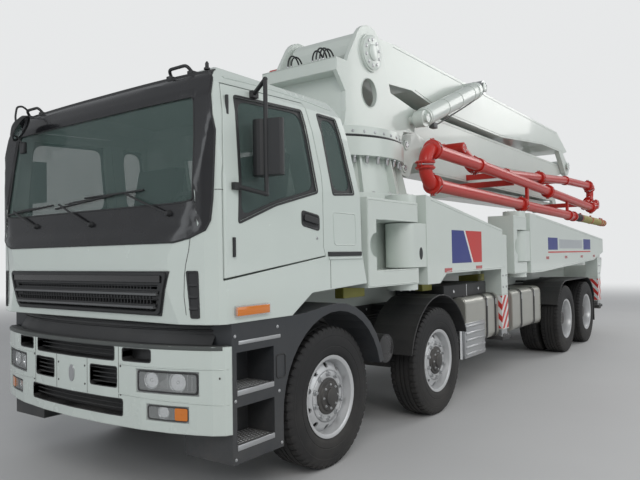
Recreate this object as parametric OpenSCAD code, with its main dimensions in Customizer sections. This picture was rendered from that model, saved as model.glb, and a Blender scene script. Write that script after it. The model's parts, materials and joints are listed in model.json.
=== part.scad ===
// Truck-mounted concrete pump: four axles, forward cab, four swing legs and a folding boom.
// Millimetres. X points forward, Y to the left, Z up, with the tyres standing on Z = 0.

/* [Overall] */
// Length over the front bumper and the rear hopper
overall_l = 11900; // [11860:10:12000]
// Front bumper to the first axle
front_overhang = 1400; // [1390:5:1420]
// Half width over the cab sides
cab_half_w = 1245; // [1240:1:1250]

/* [Axles and wheels] */
// First axle to second axle
wheelbase_12 = 1850; // [1840:5:1870]
// Second axle to third axle
wheelbase_23 = 4575; // [4550:5:4600]
// Third axle to fourth axle
wheelbase_34 = 1310; // [1290:5:1350]
// Outer diameter of a tyre
tyre_d = 1050; // [1030:2:1060]
// Width of a tyre
tyre_w = 290; // [280:2:300]
// Diameter where a tyre sits on its rim
bead_d = 574; // [570:1:580]
// Side offset of a front tyre's middle
front_track_y = 1045; // [1040:1:1055]
// Side offset of the middle of a rear pair
rear_track_y = 925; // [920:1:935]
// Distance between the two tyres of a rear pair
twin_gap = 330; // [326:1:336]
// Side offset of a kingpin
kingpin_y = 865; // [860:1:870]

/* [Frame] */
// Height of the frame rails' upper face
rail_top = 1060; // [1050:1:1065]
// Depth of a frame rail
rail_h = 290; // [270:5:300]
// Half width over the frame rails
rail_half_w = 430; // [420:1:440]
// Wall of a frame rail
rail_wall = 10; // [8:1:14]
// Width of a frame rail's flange
rail_flange = 80; // [70:1:90]

/* [Cab] */
// Wall of the cab and the doors
cab_wall = 50; // [40:1:60]
// Gap around each door
door_gap = 6; // [5:1:8]
// Thickness of the glass
glass_t = 6; // [5:1:8]
// Depth of the glass below the skin
glass_set = 12; // [8:1:16]
// Height of the cab floor's upper face
floor_z = 1435; // [1430:1:1440]

/* [Outriggers] */
// Front leg's pin, behind the first axle
front_pin_x = -1300; // [-1320:5:-1290]
// Length of a rear leg from its pin to its support post
rear_leg_l = 4450; // [4400:10:4500]
// Thickness of a leg
leg_t = 310; // [290:2:314]
// Wall of a hollow leg
leg_wall = 14; // [10:1:18]
// Length of a front leg's inner box
slide_l = 2000; // [1900:10:2010]
// Width of a support post
post_w = 190; // [170:2:200]
// Height of a support foot's underside
foot_z = 520; // [480:5:560]

/* [Turret and boom] */
// Turret's turning axis, behind the first axle
turret_x = -1650; // [-1670:5:-1630]
// Height of the boom's main pivot
boom_pivot_z = 3720; // [3710:5:3730]
// Boom's main pivot, behind the first axle
boom_pivot_x = -1800; // [-1810:5:-1790]
// Length of the boom's first section between its pins
boom_1_l = 8100; // [8080:10:8120]
// Length of the second section between its pins
boom_2_l = 6600; // [6580:10:6620]
// Length of the third section between its pins
boom_3_l = 6300; // [6280:10:6320]
// Length of the fourth section
boom_4_l = 5100; // [5060:10:5140]
// Half width over the turret's cheeks
cheek_half_w = 480; // [476:1:490]
// Thickness of a turret cheek
cheek_t = 45; // [30:1:50]
// Half width of the first boom section
boom_1_half_w = 400; // [380:2:410]
// Half width of the second boom section
boom_2_half_w = 300; // [280:2:310]
// Half width of the third boom section
boom_3_half_w = 230; // [220:2:240]
// Half width of the fourth boom section
boom_4_half_w = 165; // [150:1:180]
// Outer diameter of the delivery pipe
pipe_d = 140; // [130:1:150]
// Radius of a bend in the delivery pipe
pipe_bend_r = 180; // [170:5:185]
// Outer diameter of a pipe coupling
coupling_d = 172; // [164:1:174]
// Length of a pipe coupling
coupling_l = 84; // [76:1:90]
// Bore of a luffing cylinder's barrel
luff_bore = 170; // [160:1:180]
// Side offset of the luffing cylinders
luff_y = 610; // [600:1:620]

/* [Hopper] */
// Half width of the hopper
hopper_half_w = 915; // [890:5:920]
// Length of the hopper at its rim
hopper_l = 1140; // [1120:5:1160]
// Height of the hopper's rim
hopper_top = 1400; // [1380:5:1420]
// Wall of the hopper
hopper_wall = 12; // [8:1:16]

/* [Hidden] */
$fn = 48;

// Places along X are measured from the first axle; the whole is then moved to its middle
origin_x = overall_l / 2 - front_overhang;
tail_x = front_overhang - overall_l;
axle_x = [0, -wheelbase_12, -wheelbase_12 - wheelbase_23,
          -wheelbase_12 - wheelbase_23 - wheelbase_34];
wheel_z = tyre_d / 2;
rail_bottom = rail_top - rail_h;
rail_front = 1180;
rail_rear = tail_x + hopper_l + 10;
hopper_front = tail_x + hopper_l;
seat = 0.3;          // gap at a seat that carries but does not press
swing_gap = 8;       // gap between pieces that move on each other
big = 3000;
bend_from = 12;      // turns of a pipe up to this many degrees are made in a coupling
run_gap = 4;         // distance from a pipe's end to the middle of its coupling

// Small shared shapes
module block(x0, x1, y0, y1, z0, z1) {
    translate([x0, y0, z0]) cube([x1 - x0, y1 - y0, z1 - z0]);
}
module along_x(x0, x1) translate([x0, 0, 0]) rotate([90, 0, 90]) linear_extrude(x1 - x0) children();
module along_y(y0, y1) translate([0, y1, 0]) rotate([90, 0, 0]) linear_extrude(y1 - y0) children();
module along_z(z0, z1) translate([0, 0, z0]) linear_extrude(z1 - z0) children();
module disc_y(x, z, d, y0, y1) translate([x, y0, z]) rotate([-90, 0, 0]) cylinder(h = y1 - y0, d = d);
module disc_z(x, y, d, z0, z1) translate([x, y, z0]) cylinder(h = z1 - z0, d = d);
module both() {
    children();
    mirror([0, 1, 0]) children();
}
module side(s) {
    if (s > 0) children();
    else mirror([0, 1, 0]) children();
}
module placed() translate([origin_x, 0, 0]) children();

// A straight round bar between two points
module bar(a, b, d) {
    v = b - a;
    translate(a) rotate([0, acos(v.z / norm(v)), atan2(v.y, v.x)]) cylinder(h = norm(v), d = d);
}
// A bent pipe: straight runs with a slightly thicker ball at each bend
module bent_pipe(route, d) {
    for (i = [0 : len(route) - 2]) bar(route[i], route[i + 1], d);
    for (i = [1 : len(route) - 2]) translate(route[i]) sphere(d = d * 1.14);
}
// A coupling ring around a pipe in the upright plane at y
module coupling(p, dir, y) {
    a = p - dir * coupling_l / 2;
    b = p + dir * coupling_l / 2;
    bar([a.x, y, a.y], [b.x, y, b.y], coupling_d);
}
// A pipe in the upright plane at y through the points [x, z]: straight runs, round bends where it
// turns by more than bend_from degrees, and a coupling at each joint, in which the runs end apart
module pipe_run(route, y, d) {
    last = len(route) - 1;
    dirs = [for (i = [0 : last - 1]) (route[i + 1] - route[i]) / norm(route[i + 1] - route[i])];
    turns = [for (i = [0 : last]) i == 0 || i == last ? 0
        : atan2(dirs[i - 1].x * dirs[i].y - dirs[i - 1].y * dirs[i].x, dirs[i - 1] * dirs[i])];
    cuts = [for (t = turns) abs(t) > bend_from ? pipe_bend_r * tan(abs(t) / 2) : 0];
    for (i = [0 : last - 1]) {
        a = route[i] + dirs[i] * cuts[i];
        b = route[i + 1] - dirs[i] * cuts[i + 1];
        if (norm(b - a) < 1.5 * coupling_l && cuts[i] > 0 && cuts[i + 1] > 0)
            coupling((a + b) / 2, dirs[i], y);
        else {
            a1 = a + dirs[i] * (i > 0 ? run_gap : 0);
            b1 = b - dirs[i] * (i < last - 1 ? run_gap : 0);
            bar([a1.x, y, a1.y], [b1.x, y, b1.y], d);
            if (i > 0) coupling(a, dirs[i], y);
            if (cuts[i + 1] > 0) coupling(b, dirs[i], y);
        }
    }
    for (i = [1 : last - 1]) if (cuts[i] > 0) {
        hand = sign(turns[i]);
        start = route[i] - dirs[i - 1] * cuts[i];
        centre = start + hand * pipe_bend_r * [-dirs[i - 1].y, dirs[i - 1].x];
        first = hand > 0 ? start : route[i] + dirs[i] * cuts[i];
        translate([centre.x, y, centre.y])
            rotate([90, 0, 0])
                rotate([0, 0, atan2(first.y - centre.y, first.x - centre.x)])
                    rotate_extrude(angle = abs(turns[i])) translate([pipe_bend_r, 0]) circle(d = d);
    }
}
// Moves each row [a, b, inward a, inward b] inward by d
function shrink(rows, d) = [for (r = rows) [r[0] + d * r[2], r[1] + d * r[3]]];
function mirrored(points) =
    concat(points, [for (i = [len(points) - 1 : -1 : 0]) [points[i][0], -points[i][1]]]);
function arc(cx, cy, r, a0, a1, steps = 6) =
    [for (i = [0 : steps]) let (a = a0 + (a1 - a0) * i / steps) [cx + r * cos(a), cy + r * sin(a)]];

// CHASSIS

module chassis_frame() placed() color("dimgray") {
    inner = rail_half_w - rail_wall;
    both() along_x(rail_rear, rail_front) polygon([
        [rail_half_w - rail_flange, rail_bottom], [rail_half_w, rail_bottom],
        [rail_half_w, rail_top], [rail_half_w - rail_flange, rail_top],
        [rail_half_w - rail_flange, rail_top - rail_wall], [inner, rail_top - rail_wall],
        [inner, rail_bottom + rail_wall], [rail_half_w - rail_flange, rail_bottom + rail_wall]
    ]);
    // rear guard bar with its stays
    block(rail_rear, rail_rear + guard_bar, -guard_bar_half, guard_bar_half,
        guard_bar_z, guard_bar_z + guard_bar);
    both() block(rail_rear, rail_rear + guard_bar, rail_half_w - rail_flange, rail_half_w, guard_bar_z,
        rail_top - rail_h + 10);
    for (x = cross_tube_x) disc_y(x, rail_top - rail_h / 2, cross_tube_d, -inner, inner);
    // posts that carry the cab's floor
    for (x = cab_post_x) both() block(x, x + cab_post_l, rail_half_w - rail_flange, rail_half_w,
        rail_top - 1, floor_z - floor_t - seat);
}
cross_tube_x = [rail_front - 80, -1000, -2700, -3900, -5400, (axle_x[2] + axle_x[3]) / 2, rail_rear + 750];
cross_tube_d = 120;
guard_bar = 100;
guard_bar_half = cab_half_w - 125;
guard_bar_z = 455;
cab_post_x = [-335, 960];
cab_post_l = 70;
floor_t = 45;

engine_x = [-340, 880];
engine_half_w = 300;
engine_z = [640, floor_z - floor_t - 15];
mount_t = 40;
module engine_block() placed() color("slategray") {
    block(engine_x[0], engine_x[1], -engine_half_w, engine_half_w, engine_z[0], engine_z[1]);
    // mounts that reach the rails' flanges
    for (x = [engine_x[0] + 150, engine_x[1] - 150]) both() block(x - 50, x + 50,
        engine_half_w, rail_half_w - 20, rail_top, rail_top + mount_t);
}

// A leaf spring in its hangers below a rail
spring_y = rail_half_w - 45;
spring_half = 620;
module leaf_spring(x, base_z) {
    mid = base_z + 70;
    both() {
        along_y(spring_y - 40, spring_y + 40) polygon([
            [x - spring_half, rail_bottom - 55], [x - 200, base_z], [x + 200, base_z],
            [x + spring_half, rail_bottom - 55], [x + spring_half, rail_bottom - 25],
            [x, mid + 10], [x - spring_half, rail_bottom - 25]
        ]);
        for (e = [-1, 1]) block(x + e * spring_half - 30, x + e * spring_half + 30,
            spring_y - 40, spring_y + 40, rail_bottom - 60, rail_bottom);
    }
}
kingpin_eye_h = 110;
beam_z = wheel_z - 110;
module front_axle(x) {
    both() {
        block(x - 45, x + 45, -1, kingpin_y - 150, beam_z, beam_z + 100);
        block(x - 45, x + 45, kingpin_y - 190, kingpin_y - 120, beam_z, wheel_z + kingpin_eye_h / 2);
        block(x - 40, x + 40, kingpin_y - 130, kingpin_y,
            wheel_z - kingpin_eye_h / 2, wheel_z + kingpin_eye_h / 2);
        disc_z(x, kingpin_y, 116, wheel_z - kingpin_eye_h / 2, wheel_z + kingpin_eye_h / 2);
    }
    leaf_spring(x, beam_z + 100);
}
stub_d = 88;
diff_d = 420;
rear_stub_y = rear_track_y + 150;
module rear_axle(x) {
    disc_y(x, wheel_z, 170, -570, 570);
    translate([x, 0, wheel_z]) sphere(d = diff_d);
    both() disc_y(x, wheel_z, stub_d, 560, rear_stub_y);
    leaf_spring(x, wheel_z + 80);
}
module axles() placed() color("dimgray") {
    for (i = [0, 1]) front_axle(axle_x[i]);
    for (i = [2, 3]) rear_axle(axle_x[i]);
}

// Tanks on both sides, and the straps' brackets to the rails
tank_y = [560, cab_half_w - 95];
tank_z = [560, 1090];
tank_round = [90, 60];                           // outer and inner corners
module fuel_tanks() placed() color("darkgray") {
    // front and rear end of each, clear of the wheels and of the front leg's post
    tank_spans = [[axle_x[1] - 750, front_post_x + 120], [front_post_x - 380, axle_x[2] + 1125]];
    both() for (t = tank_spans) {
        r = tank_round[0];
        q = tank_round[1];
        along_x(t[1], t[0]) polygon(concat(
            arc(tank_y[1] - r, tank_z[1] - r, r, 0, 90),
            arc(tank_y[0] + q, tank_z[1] - q, q, 90, 180),
            arc(tank_y[0] + q, tank_z[0] + q, q, 180, 270),
            arc(tank_y[1] - r, tank_z[0] + r, r, 270, 360)));
        for (e = [0.2, 0.8]) {
            x = t[0] + (t[1] - t[0]) * e;
            block(x - 40, x + 40, rail_half_w, tank_y[0] + 30, rail_bottom + 20, rail_top - 30);
        }
    }
}

// Air tank between the front wheels, step box behind the second wheel
air_tank_d = 250;
air_tank_z = 760;
module side_gear() placed() color("gray") {
    both() {
        disc_y(axle_x[1] / 2, air_tank_z, air_tank_d, rail_half_w + 90, cab_half_w - 125);
        block(axle_x[1] / 2 - 40, axle_x[1] / 2 + 40, rail_half_w, rail_half_w + 100,
            air_tank_z - 40, air_tank_z + 40);
    }
}

guard_r = 640;
guard_t = 12;
rear_guard_r = 590;
flap_x = 548;
flap_z = 330;
module guard(x, r, y0, y1, a0, a1) {
    along_y(y0, y1) polygon([for (p = concat(arc(x, wheel_z, r + guard_t, a0, a1, 12),
        arc(x, wheel_z, r, a1, a0, 12))) p]);
}
module mudguards() placed() color("#303438") {
    both() {
        guard(axle_x[1], guard_r, kingpin_y - 105, cab_half_w - 30, 12, 160);
        // rear wheels stand straight, so one low cover reaches over both
        along_y(rear_track_y - 315, rear_track_y + 310) polygon(concat(
            arc(axle_x[2], wheel_z, rear_guard_r + guard_t, 25, 90, 8),
            arc(axle_x[3], wheel_z, rear_guard_r + guard_t, 90, 155, 8),
            arc(axle_x[3], wheel_z, rear_guard_r, 155, 90, 8),
            arc(axle_x[2], wheel_z, rear_guard_r, 90, 25, 8)));
        // flap behind the last wheel
        block(axle_x[3] - flap_x, axle_x[3] - flap_x + guard_t, rear_track_y - 310, rear_track_y + 305,
            flap_z, wheel_z + 262);
        // stays to the rails
        block(axle_x[1] - 30, axle_x[1] + 30, rail_half_w, kingpin_y - 65, rail_top - 60, rail_top);
        block(axle_x[1] - 30, axle_x[1] + 30, kingpin_y - 95, kingpin_y - 65,
            rail_top - 20, wheel_z + guard_r + 4);
        for (x = [axle_x[2], axle_x[3]]) block(x - 30, x + 30, rail_half_w, rear_track_y - 225,
            wheel_z + rear_guard_r - 30, wheel_z + rear_guard_r + 4);
    }
}

// CAB

// Side outline: x, z, inward x, inward z
cab_side = [
    [1300, 1180, -1, -1], [1330, 1500, -1, 0], [1295, 1760, -1, 0], [1205, 2560, -1, 0],
    [1160, 2690, -0.9, -0.5], [1040, 2790, -0.4, -0.9], [500, 2872, 0, -1],
    [-60, 2840, 0.3, -1], [-170, 2745, 1, -0.5], [-340, 2030, 1, 0], [-350, 1620, 1, 0],
    [-420, 1360, 1, 0], [-420, 1180, 1, -1]
];
// Front outline, left half: y, z, inward y, inward z
cab_front = [
    [cab_half_w, 1170, -1, -1], [cab_half_w, 2050, -1, 0], [cab_half_w - 40, 2480, -1, 0],
    [cab_half_w - 75, 2650, -1, -0.2], [cab_half_w - 165, 2775, -0.7, -0.8],
    [cab_half_w - 385, 2850, -0.2, -1], [0, 2880, 0, -1]
];
// Plan outline, left half: x, y, inward x, inward y
cab_plan = [
    [-600, cab_half_w + 5, 0, -1], [1150, cab_half_w + 5, 0, -1],
    [1205, cab_half_w - 25, -0.5, -0.9], [1250, cab_half_w - 95, -0.8, -0.6],
    [1285, cab_half_w - 205, -1, -0.3], [1318, cab_half_w - 345, -1, -0.1],
    [1345, cab_half_w - 745, -1, 0], [1352, 0, -1, 0]
];
module cab_body(d) intersection() {
    along_y(-big, big) polygon(shrink(cab_side, d));
    along_x(-big, big) polygon([
        for (p = mirrored([for (q = shrink(cab_front, d)) [q[1], q[0]]])) [p[1], p[0]]
    ]);
    along_z(0, 2 * big) polygon(mirrored(shrink(cab_plan, d)));
}
// Door outline: x, z, inward x, inward z
door_line = [
    [1178, 1440, -1, 2.2], [139, 1572, 1, 1.5], [164, 1640, 1, 0.1], [164, 2170, 1, 0],
    [270, 2690, 1, -1], [1130, 2650, -1, -1], [1180, 2080, -1, 0]
];
door_window = [
    [1040, 1800, -1, 1], [700, 1925, 0, 1], [240, 2040, 1, 1], [330, 2610, 1, -1],
    [1010, 2580, -1, -1]
];
quarter_window = [
    [30, 2040, -1, 1], [-240, 2060, 1, 1], [-100, 2620, 1, -1], [125, 2620, -1, -1]
];
windshield_half_w = cab_half_w - 170;
windshield = [[-windshield_half_w - 35, 1740, 1, 1], [windshield_half_w + 35, 1740, -1, 1],
              [windshield_half_w - 40, 2590, -1, -1], [40 - windshield_half_w, 2590, 1, -1]];
rear_window = [[-650, 2080, 1, 1], [650, 2080, -1, 1], [620, 2500, -1, -1], [-620, 2500, 1, -1]];
// White skirt below the door with its wheel arch
skirt_z = 1180;
skirt_cut = [[2000, 1100], [2000, skirt_z], [540, skirt_z], [310, 1320], [-600, 1362], [-600, 1100]];
grille_half_w = cab_half_w - 330;
grille_line = [[85 - grille_half_w, 1225, 1, 1], [grille_half_w - 85, 1225, -1, 1],
               [grille_half_w, 1500, -1, -1], [-grille_half_w, 1500, 1, -1]];

module prism_side(rows, d) along_y(cab_half_w - 170, 1400) polygon(shrink(rows, d));
module prism_front(rows, d) along_x(700, 1500) polygon(shrink(rows, d));
module prism_rear(rows, d) along_x(-600, -150) polygon(shrink(rows, d));

module cab_shell() placed() color("white") difference() {
    union() {
        difference() {
            cab_body(0);
            cab_body(cab_wall);
        }
        // floor
        intersection() {
            cab_body(cab_wall - 1);
            block(-600, 1400, -cab_half_w, cab_half_w, floor_z - floor_t, floor_z);
        }
    }
    both() {
        prism_side(door_line, 0);
        prism_side(quarter_window, 0);
    }
    prism_front(windshield, 0);
    prism_front(grille_line, 0);
    prism_rear(rear_window, 0);
    along_y(-big, big) polygon(skirt_cut);
}
module skin(outer, inner) difference() {
    cab_body(outer);
    cab_body(inner);
}
module cab_glass() placed() color("#9fb6bd") intersection() {
    skin(glass_set, glass_set + glass_t);
    union() {
        both() prism_side(quarter_window, seat);
        prism_front(windshield, seat);
        prism_rear(rear_window, seat);
    }
}
module grille() placed() color("#202326") difference() {
    intersection() {
        skin(-6, 34);
        prism_front(grille_line, seat);
    }
    // air slots between five bars
    for (i = [0 : 4]) {
        y = grille_half_w - 135 + 10 * i;
        z = 1255 + 45 * i;
        along_x(900, 1500) polygon([[-y, z], [y, z], [y + 10, z + 24], [-y - 10, z + 24]]);
    }
}
module door() difference() {
    intersection() {
        skin(0, cab_wall);
        prism_side(door_line, door_gap);
    }
    prism_side(door_window, 0);
}
module door_glass() intersection() {
    skin(glass_set, glass_set + glass_t);
    prism_side(door_window, seat);
}
module door_left() placed() color("white") door();
module door_right() placed() color("white") side(-1) door();
module door_glass_left() placed() color("#9fb6bd") door_glass();
module door_glass_right() placed() color("#9fb6bd") side(-1) door_glass();

// Mirror: a tall housing on a bent tube whose two feet stand on the door
skin_y = [[1170, cab_half_w], [2050, cab_half_w], [2480, cab_half_w - 40], [2650, cab_half_w - 75]];
mirror_x = 920;
mirror_out_y = cab_half_w + 115;
mirror_feet = [[1083, 2010], [840, 2627]];      // x, z on the door's frame
mirror_rod_z = [1965, 2680];
module door_mirror() {
    for (f = mirror_feet) block(f[0] - 28, f[0] + 28, lookup(f[1] - 22, skin_y) + seat,
        lookup(f[1] - 22, skin_y) + 30, f[1] - 22, f[1] + 22);
    bent_pipe([
        [mirror_feet[0][0], lookup(mirror_feet[0][1], skin_y) + 15, mirror_feet[0][1]],
        [mirror_x, mirror_out_y, mirror_rod_z[0]], [mirror_x, mirror_out_y, mirror_rod_z[1]],
        [mirror_feet[1][0], lookup(mirror_feet[1][1], skin_y) + 15, mirror_feet[1][1]]
    ], 28);
    along_z(2085, 2435) polygon(concat(
        arc(mirror_x - 20, mirror_out_y - 60, 50, -90, 60), arc(mirror_x - 40, mirror_out_y + 55, 45, 60, 180),
        [[mirror_x - 85, mirror_out_y - 110]]));
}
module mirror_left() placed() color("#1b1d1f") door_mirror();
module mirror_right() placed() color("#1b1d1f") side(-1) door_mirror();

seat_y = [350, cab_half_w - 395];
wheel_hub = [735, 600, 1886];      // middle of the steering wheel
module cab_interior() placed() color("#3a3d40") {
    both() {
        block(150, 640, seat_y[0], seat_y[1], floor_z, 1750);
        along_y(seat_y[0], seat_y[1]) polygon([[150, 1750], [290, 1750], [160, 2380], [40, 2380]]);
    }
    // dash and its lower panel
    block(880, 1180, 145 - cab_half_w, cab_half_w - 145, 1560, 1700);
    block(1020, 1140, 245 - cab_half_w, cab_half_w - 245, floor_z, 1561);
    bar([930, wheel_hub.y, 1650], wheel_hub + [5, 0, -6], 70);
    translate(wheel_hub) rotate([0, -40, 0]) {
        rotate_extrude() translate([215, 0]) circle(d = 32);
        block(-215, 215, -20, 20, -10, 10);
        block(-20, 20, -215, 215, -10, 10);
    }
}

// BUMPER, LAMPS AND STEPS

bumper_side_x = 1124;
// Plan of the bumper's face, left half: x, y, inward x, inward y
bumper_plan = [
    [bumper_side_x, cab_half_w, 0, -1], [1165, cab_half_w - 20, -0.4, -1],
    [1210, cab_half_w - 80, -0.8, -0.8], [1250, cab_half_w - 175, -1, -0.4],
    [1305, cab_half_w - 345, -1, -0.2], [1352, cab_half_w - 561, -1, -0.2],
    [front_overhang - 12, 350, -1, -0.1], [front_overhang, 0, -1, 0]
];
bumper_wall = 70;
bumper_z = [520, 1045];
// Openings in the middle, and in pairs: inner y, outer y, low z, high z
bumper_mid_slots = [[cab_half_w - 797, 935, 1020], [cab_half_w - 724, 590, 690]];   // half width, z
bumper_side_slots = [[cab_half_w - 720, cab_half_w - 490, 940, 1015], [215, 470, 765, 890]];
// Lamps let into the bumper: inner y, outer y, low z, high z
lamp_bays = [[cab_half_w - 605, cab_half_w - 160, 750, 895], [cab_half_w - 525, cab_half_w - 225, 585, 685]];
// Low and high edge of a bracket's two arms
bracket_z = [[692, 763], [892, 933]];
module bumper_ring(d0, d1, z0, z1) along_z(z0, z1) difference() {
    polygon(mirrored(shrink(bumper_plan, d0)));
    polygon(mirrored(concat([[900, shrink(bumper_plan, d1)[0][1]]], shrink(bumper_plan, d1))));
}
module bumper() placed() color("white") {
    difference() {
        bumper_ring(0, bumper_wall, bumper_z[0], bumper_z[1]);
        for (s = bumper_mid_slots) block(900, 1500, -s[0], s[0], s[1], s[2]);
        both() for (s = concat(bumper_side_slots, lamp_bays)) block(900, 1500, s[0], s[1], s[2], s[3]);
    }
    // brackets on the frame rails' front ends
    both() {
        block(rail_front + seat, rail_front + 20, rail_half_w - rail_flange, rail_half_w,
            bracket_z[0][0], bracket_z[1][1]);
        for (z = bracket_z) block(rail_front + 10, front_overhang - 75,
            rail_half_w - rail_flange, rail_half_w, z[0], z[1]);
    }
}
module lamps() placed() color("lightyellow") {
    both() for (l = lamp_bays) intersection() {
        bumper_ring(6, bumper_wall - 6, bumper_z[0], bumper_z[1]);
        block(900, 1500, l[0] + seat, l[1] - seat, l[2] + seat, l[3] - seat);
    }
    // tail lamps on the rear guard bar
    both() block(rail_rear - 45, rail_rear - seat, guard_bar_half - 400, guard_bar_half - 20,
        guard_bar_z + 10, guard_bar_z + guard_bar - 10);
    // side markers on the skirt
    both() block(790, 1100, cab_half_w + seat, cab_half_w + 22, skirt_z + 35, skirt_z + 105);
}
step_x = [640, bumper_side_x - 6];
step_z = [430, 760];
module cab_steps() placed() color("#4a4f55") both() {
    difference() {
        along_y(cab_half_w - 425, cab_half_w - 8) polygon(concat(
            [[step_x[1], 330], [step_x[1], skirt_z - seat], [400, skirt_z - seat]],
            arc(0, wheel_z, guard_r, 44, 0, 5), [[step_x[0], 330]]));
        for (z = step_z) block(step_x[0] + 90, step_x[1] - 40, cab_half_w - 245, cab_half_w + 1, z, z + 240);
    }
    // arch over the first wheel
    along_y(cab_half_w - 385, cab_half_w - 8) polygon(concat(
        arc(0, wheel_z, guard_r, 42, 165, 12), arc(0, wheel_z, guard_r + 60, 165, 80, 8),
        [[430, skirt_z - seat], [600, skirt_z - seat]]));
}

// OUTRIGGERS

// Middle box between the front legs, subframe and middle box between the rear legs
leg_y = cab_half_w - 5 - leg_t / 2;
base_half_w = leg_y - leg_t / 2 - 20;
front_base_x = [-2420, -460];
base_z = [1310, 2050];
deck_top = 1900;
arm_low = [1312, 1450];
arm_high = [1872, 2050];
// One forked bracket around a leg pin: open towards the rear
module fork(pin_x, back_x) {
    y0 = base_half_w - 1;
    y1 = leg_y + leg_t / 2;
    difference() {
        union() {
            block(pin_x, back_x, y0, y1, arm_low[0], arm_high[1]);
            disc_z(pin_x, leg_y, leg_t, arm_low[0], arm_high[1]);
            block(pin_x - leg_t / 2, pin_x, y0, leg_y, arm_low[0], arm_high[1]);
        }
        block(pin_x - leg_t, back_x - 140, y0 - 400, y1 + 10, arm_low[1], arm_high[0]);
        disc_y(back_x - 140, (arm_low[1] + arm_high[0]) / 2, 200, y0 - 400, y1 + 10);
    }
}
pedestal_top = 2660;
pedestal_r = [790, 700, 880, 830];      // foot, neck, lower flange, upper flange
flange_h = [130, 180];                  // lower and upper flange
flange_drop = 120;                      // how far the upper flange reaches down the neck
rib_t = 24;
module outrigger_base() placed() color("white") difference() {
    union() {
        block(front_base_x[0], front_base_x[1], -base_half_w, base_half_w, base_z[0], base_z[1]);
        block(rear_base_x[0], rear_base_x[1], -base_half_w, base_half_w, base_z[0], deck_top);
        both() {
            fork(front_pin_x, front_base_x[1] + 10);
            fork(rear_pin_x, rear_base_x[1]);
            block(rail_rear, front_base_x[1], rail_half_w - rail_flange, rail_half_w, rail_top, base_z[0] + 1);
        }
        translate([turret_x, 0, base_z[1] - 1]) cylinder(h = flange_h[0], r = pedestal_r[2]);
        translate([turret_x, 0, base_z[1] + flange_h[0] - 2])
            cylinder(h = pedestal_top - base_z[1] - flange_h[0] + 2, r1 = pedestal_r[0], r2 = pedestal_r[1]);
        for (a = [0 : 30 : 330]) translate([turret_x, 0, 0]) rotate([0, 0, a])
            along_y(-rib_t / 2, rib_t / 2) polygon([[pedestal_r[1] - 100, base_z[1]],
                [pedestal_r[2] - 20, base_z[1]], [pedestal_r[2] - 20, base_z[1] + flange_h[0] + 10],
                [pedestal_r[1] + 60, pedestal_top], [pedestal_r[1] - 100, pedestal_top]]);
        translate([turret_x, 0, pedestal_top - flange_drop - 1]) cylinder(h = flange_h[1], r = pedestal_r[3]);
    }
    both() for (x = [front_pin_x, rear_pin_x]) {
        disc_z(x, leg_y, pin_d + 1, arm_low[0] - 10, arm_high[1] + 10);
        // room for the leg's knuckle to turn in the notch
        difference() {
            disc_z(x, leg_y, leg_t + 2 * swing_gap, arm_low[1], arm_high[0]);
            block(x - big, x + big, -1, base_half_w - 30, 0, big);
        }
    }
}
pin_d = 110;
cap_d = 290;
knuckle_z = [1458, 1864];

// A leg seen from its side: rows x, z; with a hollow for an inner box
module leg_shape(pin_x, rows) {
    y0 = leg_y - leg_t / 2;
    y1 = leg_y + leg_t / 2;
    along_y(y0, y1) polygon(rows);
    disc_z(pin_x, leg_y, leg_t - 14, knuckle_z[0], knuckle_z[1]);
    block(pin_x - 300, pin_x, leg_y - leg_t / 2 + 7, leg_y + leg_t / 2 - 7, knuckle_z[0], knuckle_z[1]);
    // pin with a cap above and below the fork
    disc_z(pin_x, leg_y, pin_d, arm_low[0] - 20, arm_high[1] + 20);
    disc_z(pin_x, leg_y, cap_d, arm_high[1] + seat, arm_high[1] + 75);
    disc_z(pin_x, leg_y, cap_d, arm_low[0] - 60, arm_low[0] - seat);
}
slide_z = [1420, 1800];
slide_clear = 0.5;
slide_half_t = leg_t / 2 - leg_wall - 3;
module front_leg() difference() {
    leg_shape(front_pin_x, [
        [front_pin_x - 220, 1290], [front_pin_x - 210, 2140], [front_pin_x - 280, 2130],
        [front_leg_end, slide_z[1] + 60], [front_leg_end, 1385], [front_pin_x - 640, 1380],
        [front_pin_x - 490, 1290]
    ]);
    block(front_leg_end - 10, slide_inner_x + 20, leg_y - slide_half_t - 3, leg_y + slide_half_t + 3,
        slide_z[0] - slide_clear, slide_z[1] + 3);
}
// Support post: a square housing with a jack inside it
post_clear = 0.5;
housing_half = post_w / 2 + post_clear + leg_wall;
slide_inner_x = front_pin_x - 310 - post_clear;
front_post_x = slide_inner_x - slide_l - housing_half;
front_leg_end = front_post_x + housing_half + 50;
rear_pin_x = front_post_x - 730;
rear_post_x = rear_pin_x - rear_leg_l;
rear_base_x = [rear_pin_x - 230, rear_pin_x + 490];
foot_t = 40;
housing_bottom = 640;
jack_top = 1560;
module housing_bore(x) {
    h = post_w / 2 + post_clear;
    block(x - h, x + h, leg_y - h, leg_y + h, housing_bottom - 10, jack_top + 60);
}
module housing(x, top) block(x - housing_half, x + housing_half, leg_y - housing_half,
    leg_y + housing_half, housing_bottom, top);
module jack(x) {
    h = post_w / 2;
    block(x - h, x + h, leg_y - h, leg_y + h, foot_z + foot_t - 5, jack_top);
    block(x - h - 45, x + h + 45, leg_y - h - 30, leg_y + h + 30, foot_z, foot_z + foot_t);
}
module front_slide() difference() {
    union() {
        housing(front_post_x, slide_z[1]);
        block(front_post_x, slide_inner_x, leg_y - slide_half_t,
            leg_y + slide_half_t, slide_z[0], slide_z[1]);
    }
    housing_bore(front_post_x);
    block(front_post_x + housing_half + 20, slide_inner_x + 10,
        leg_y - slide_half_t + leg_wall, leg_y + slide_half_t - leg_wall,
        slide_z[0] + leg_wall, slide_z[1] - leg_wall);
}
rear_leg_end = rear_post_x - housing_half - 60;
rear_housing_top = 1830;
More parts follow.
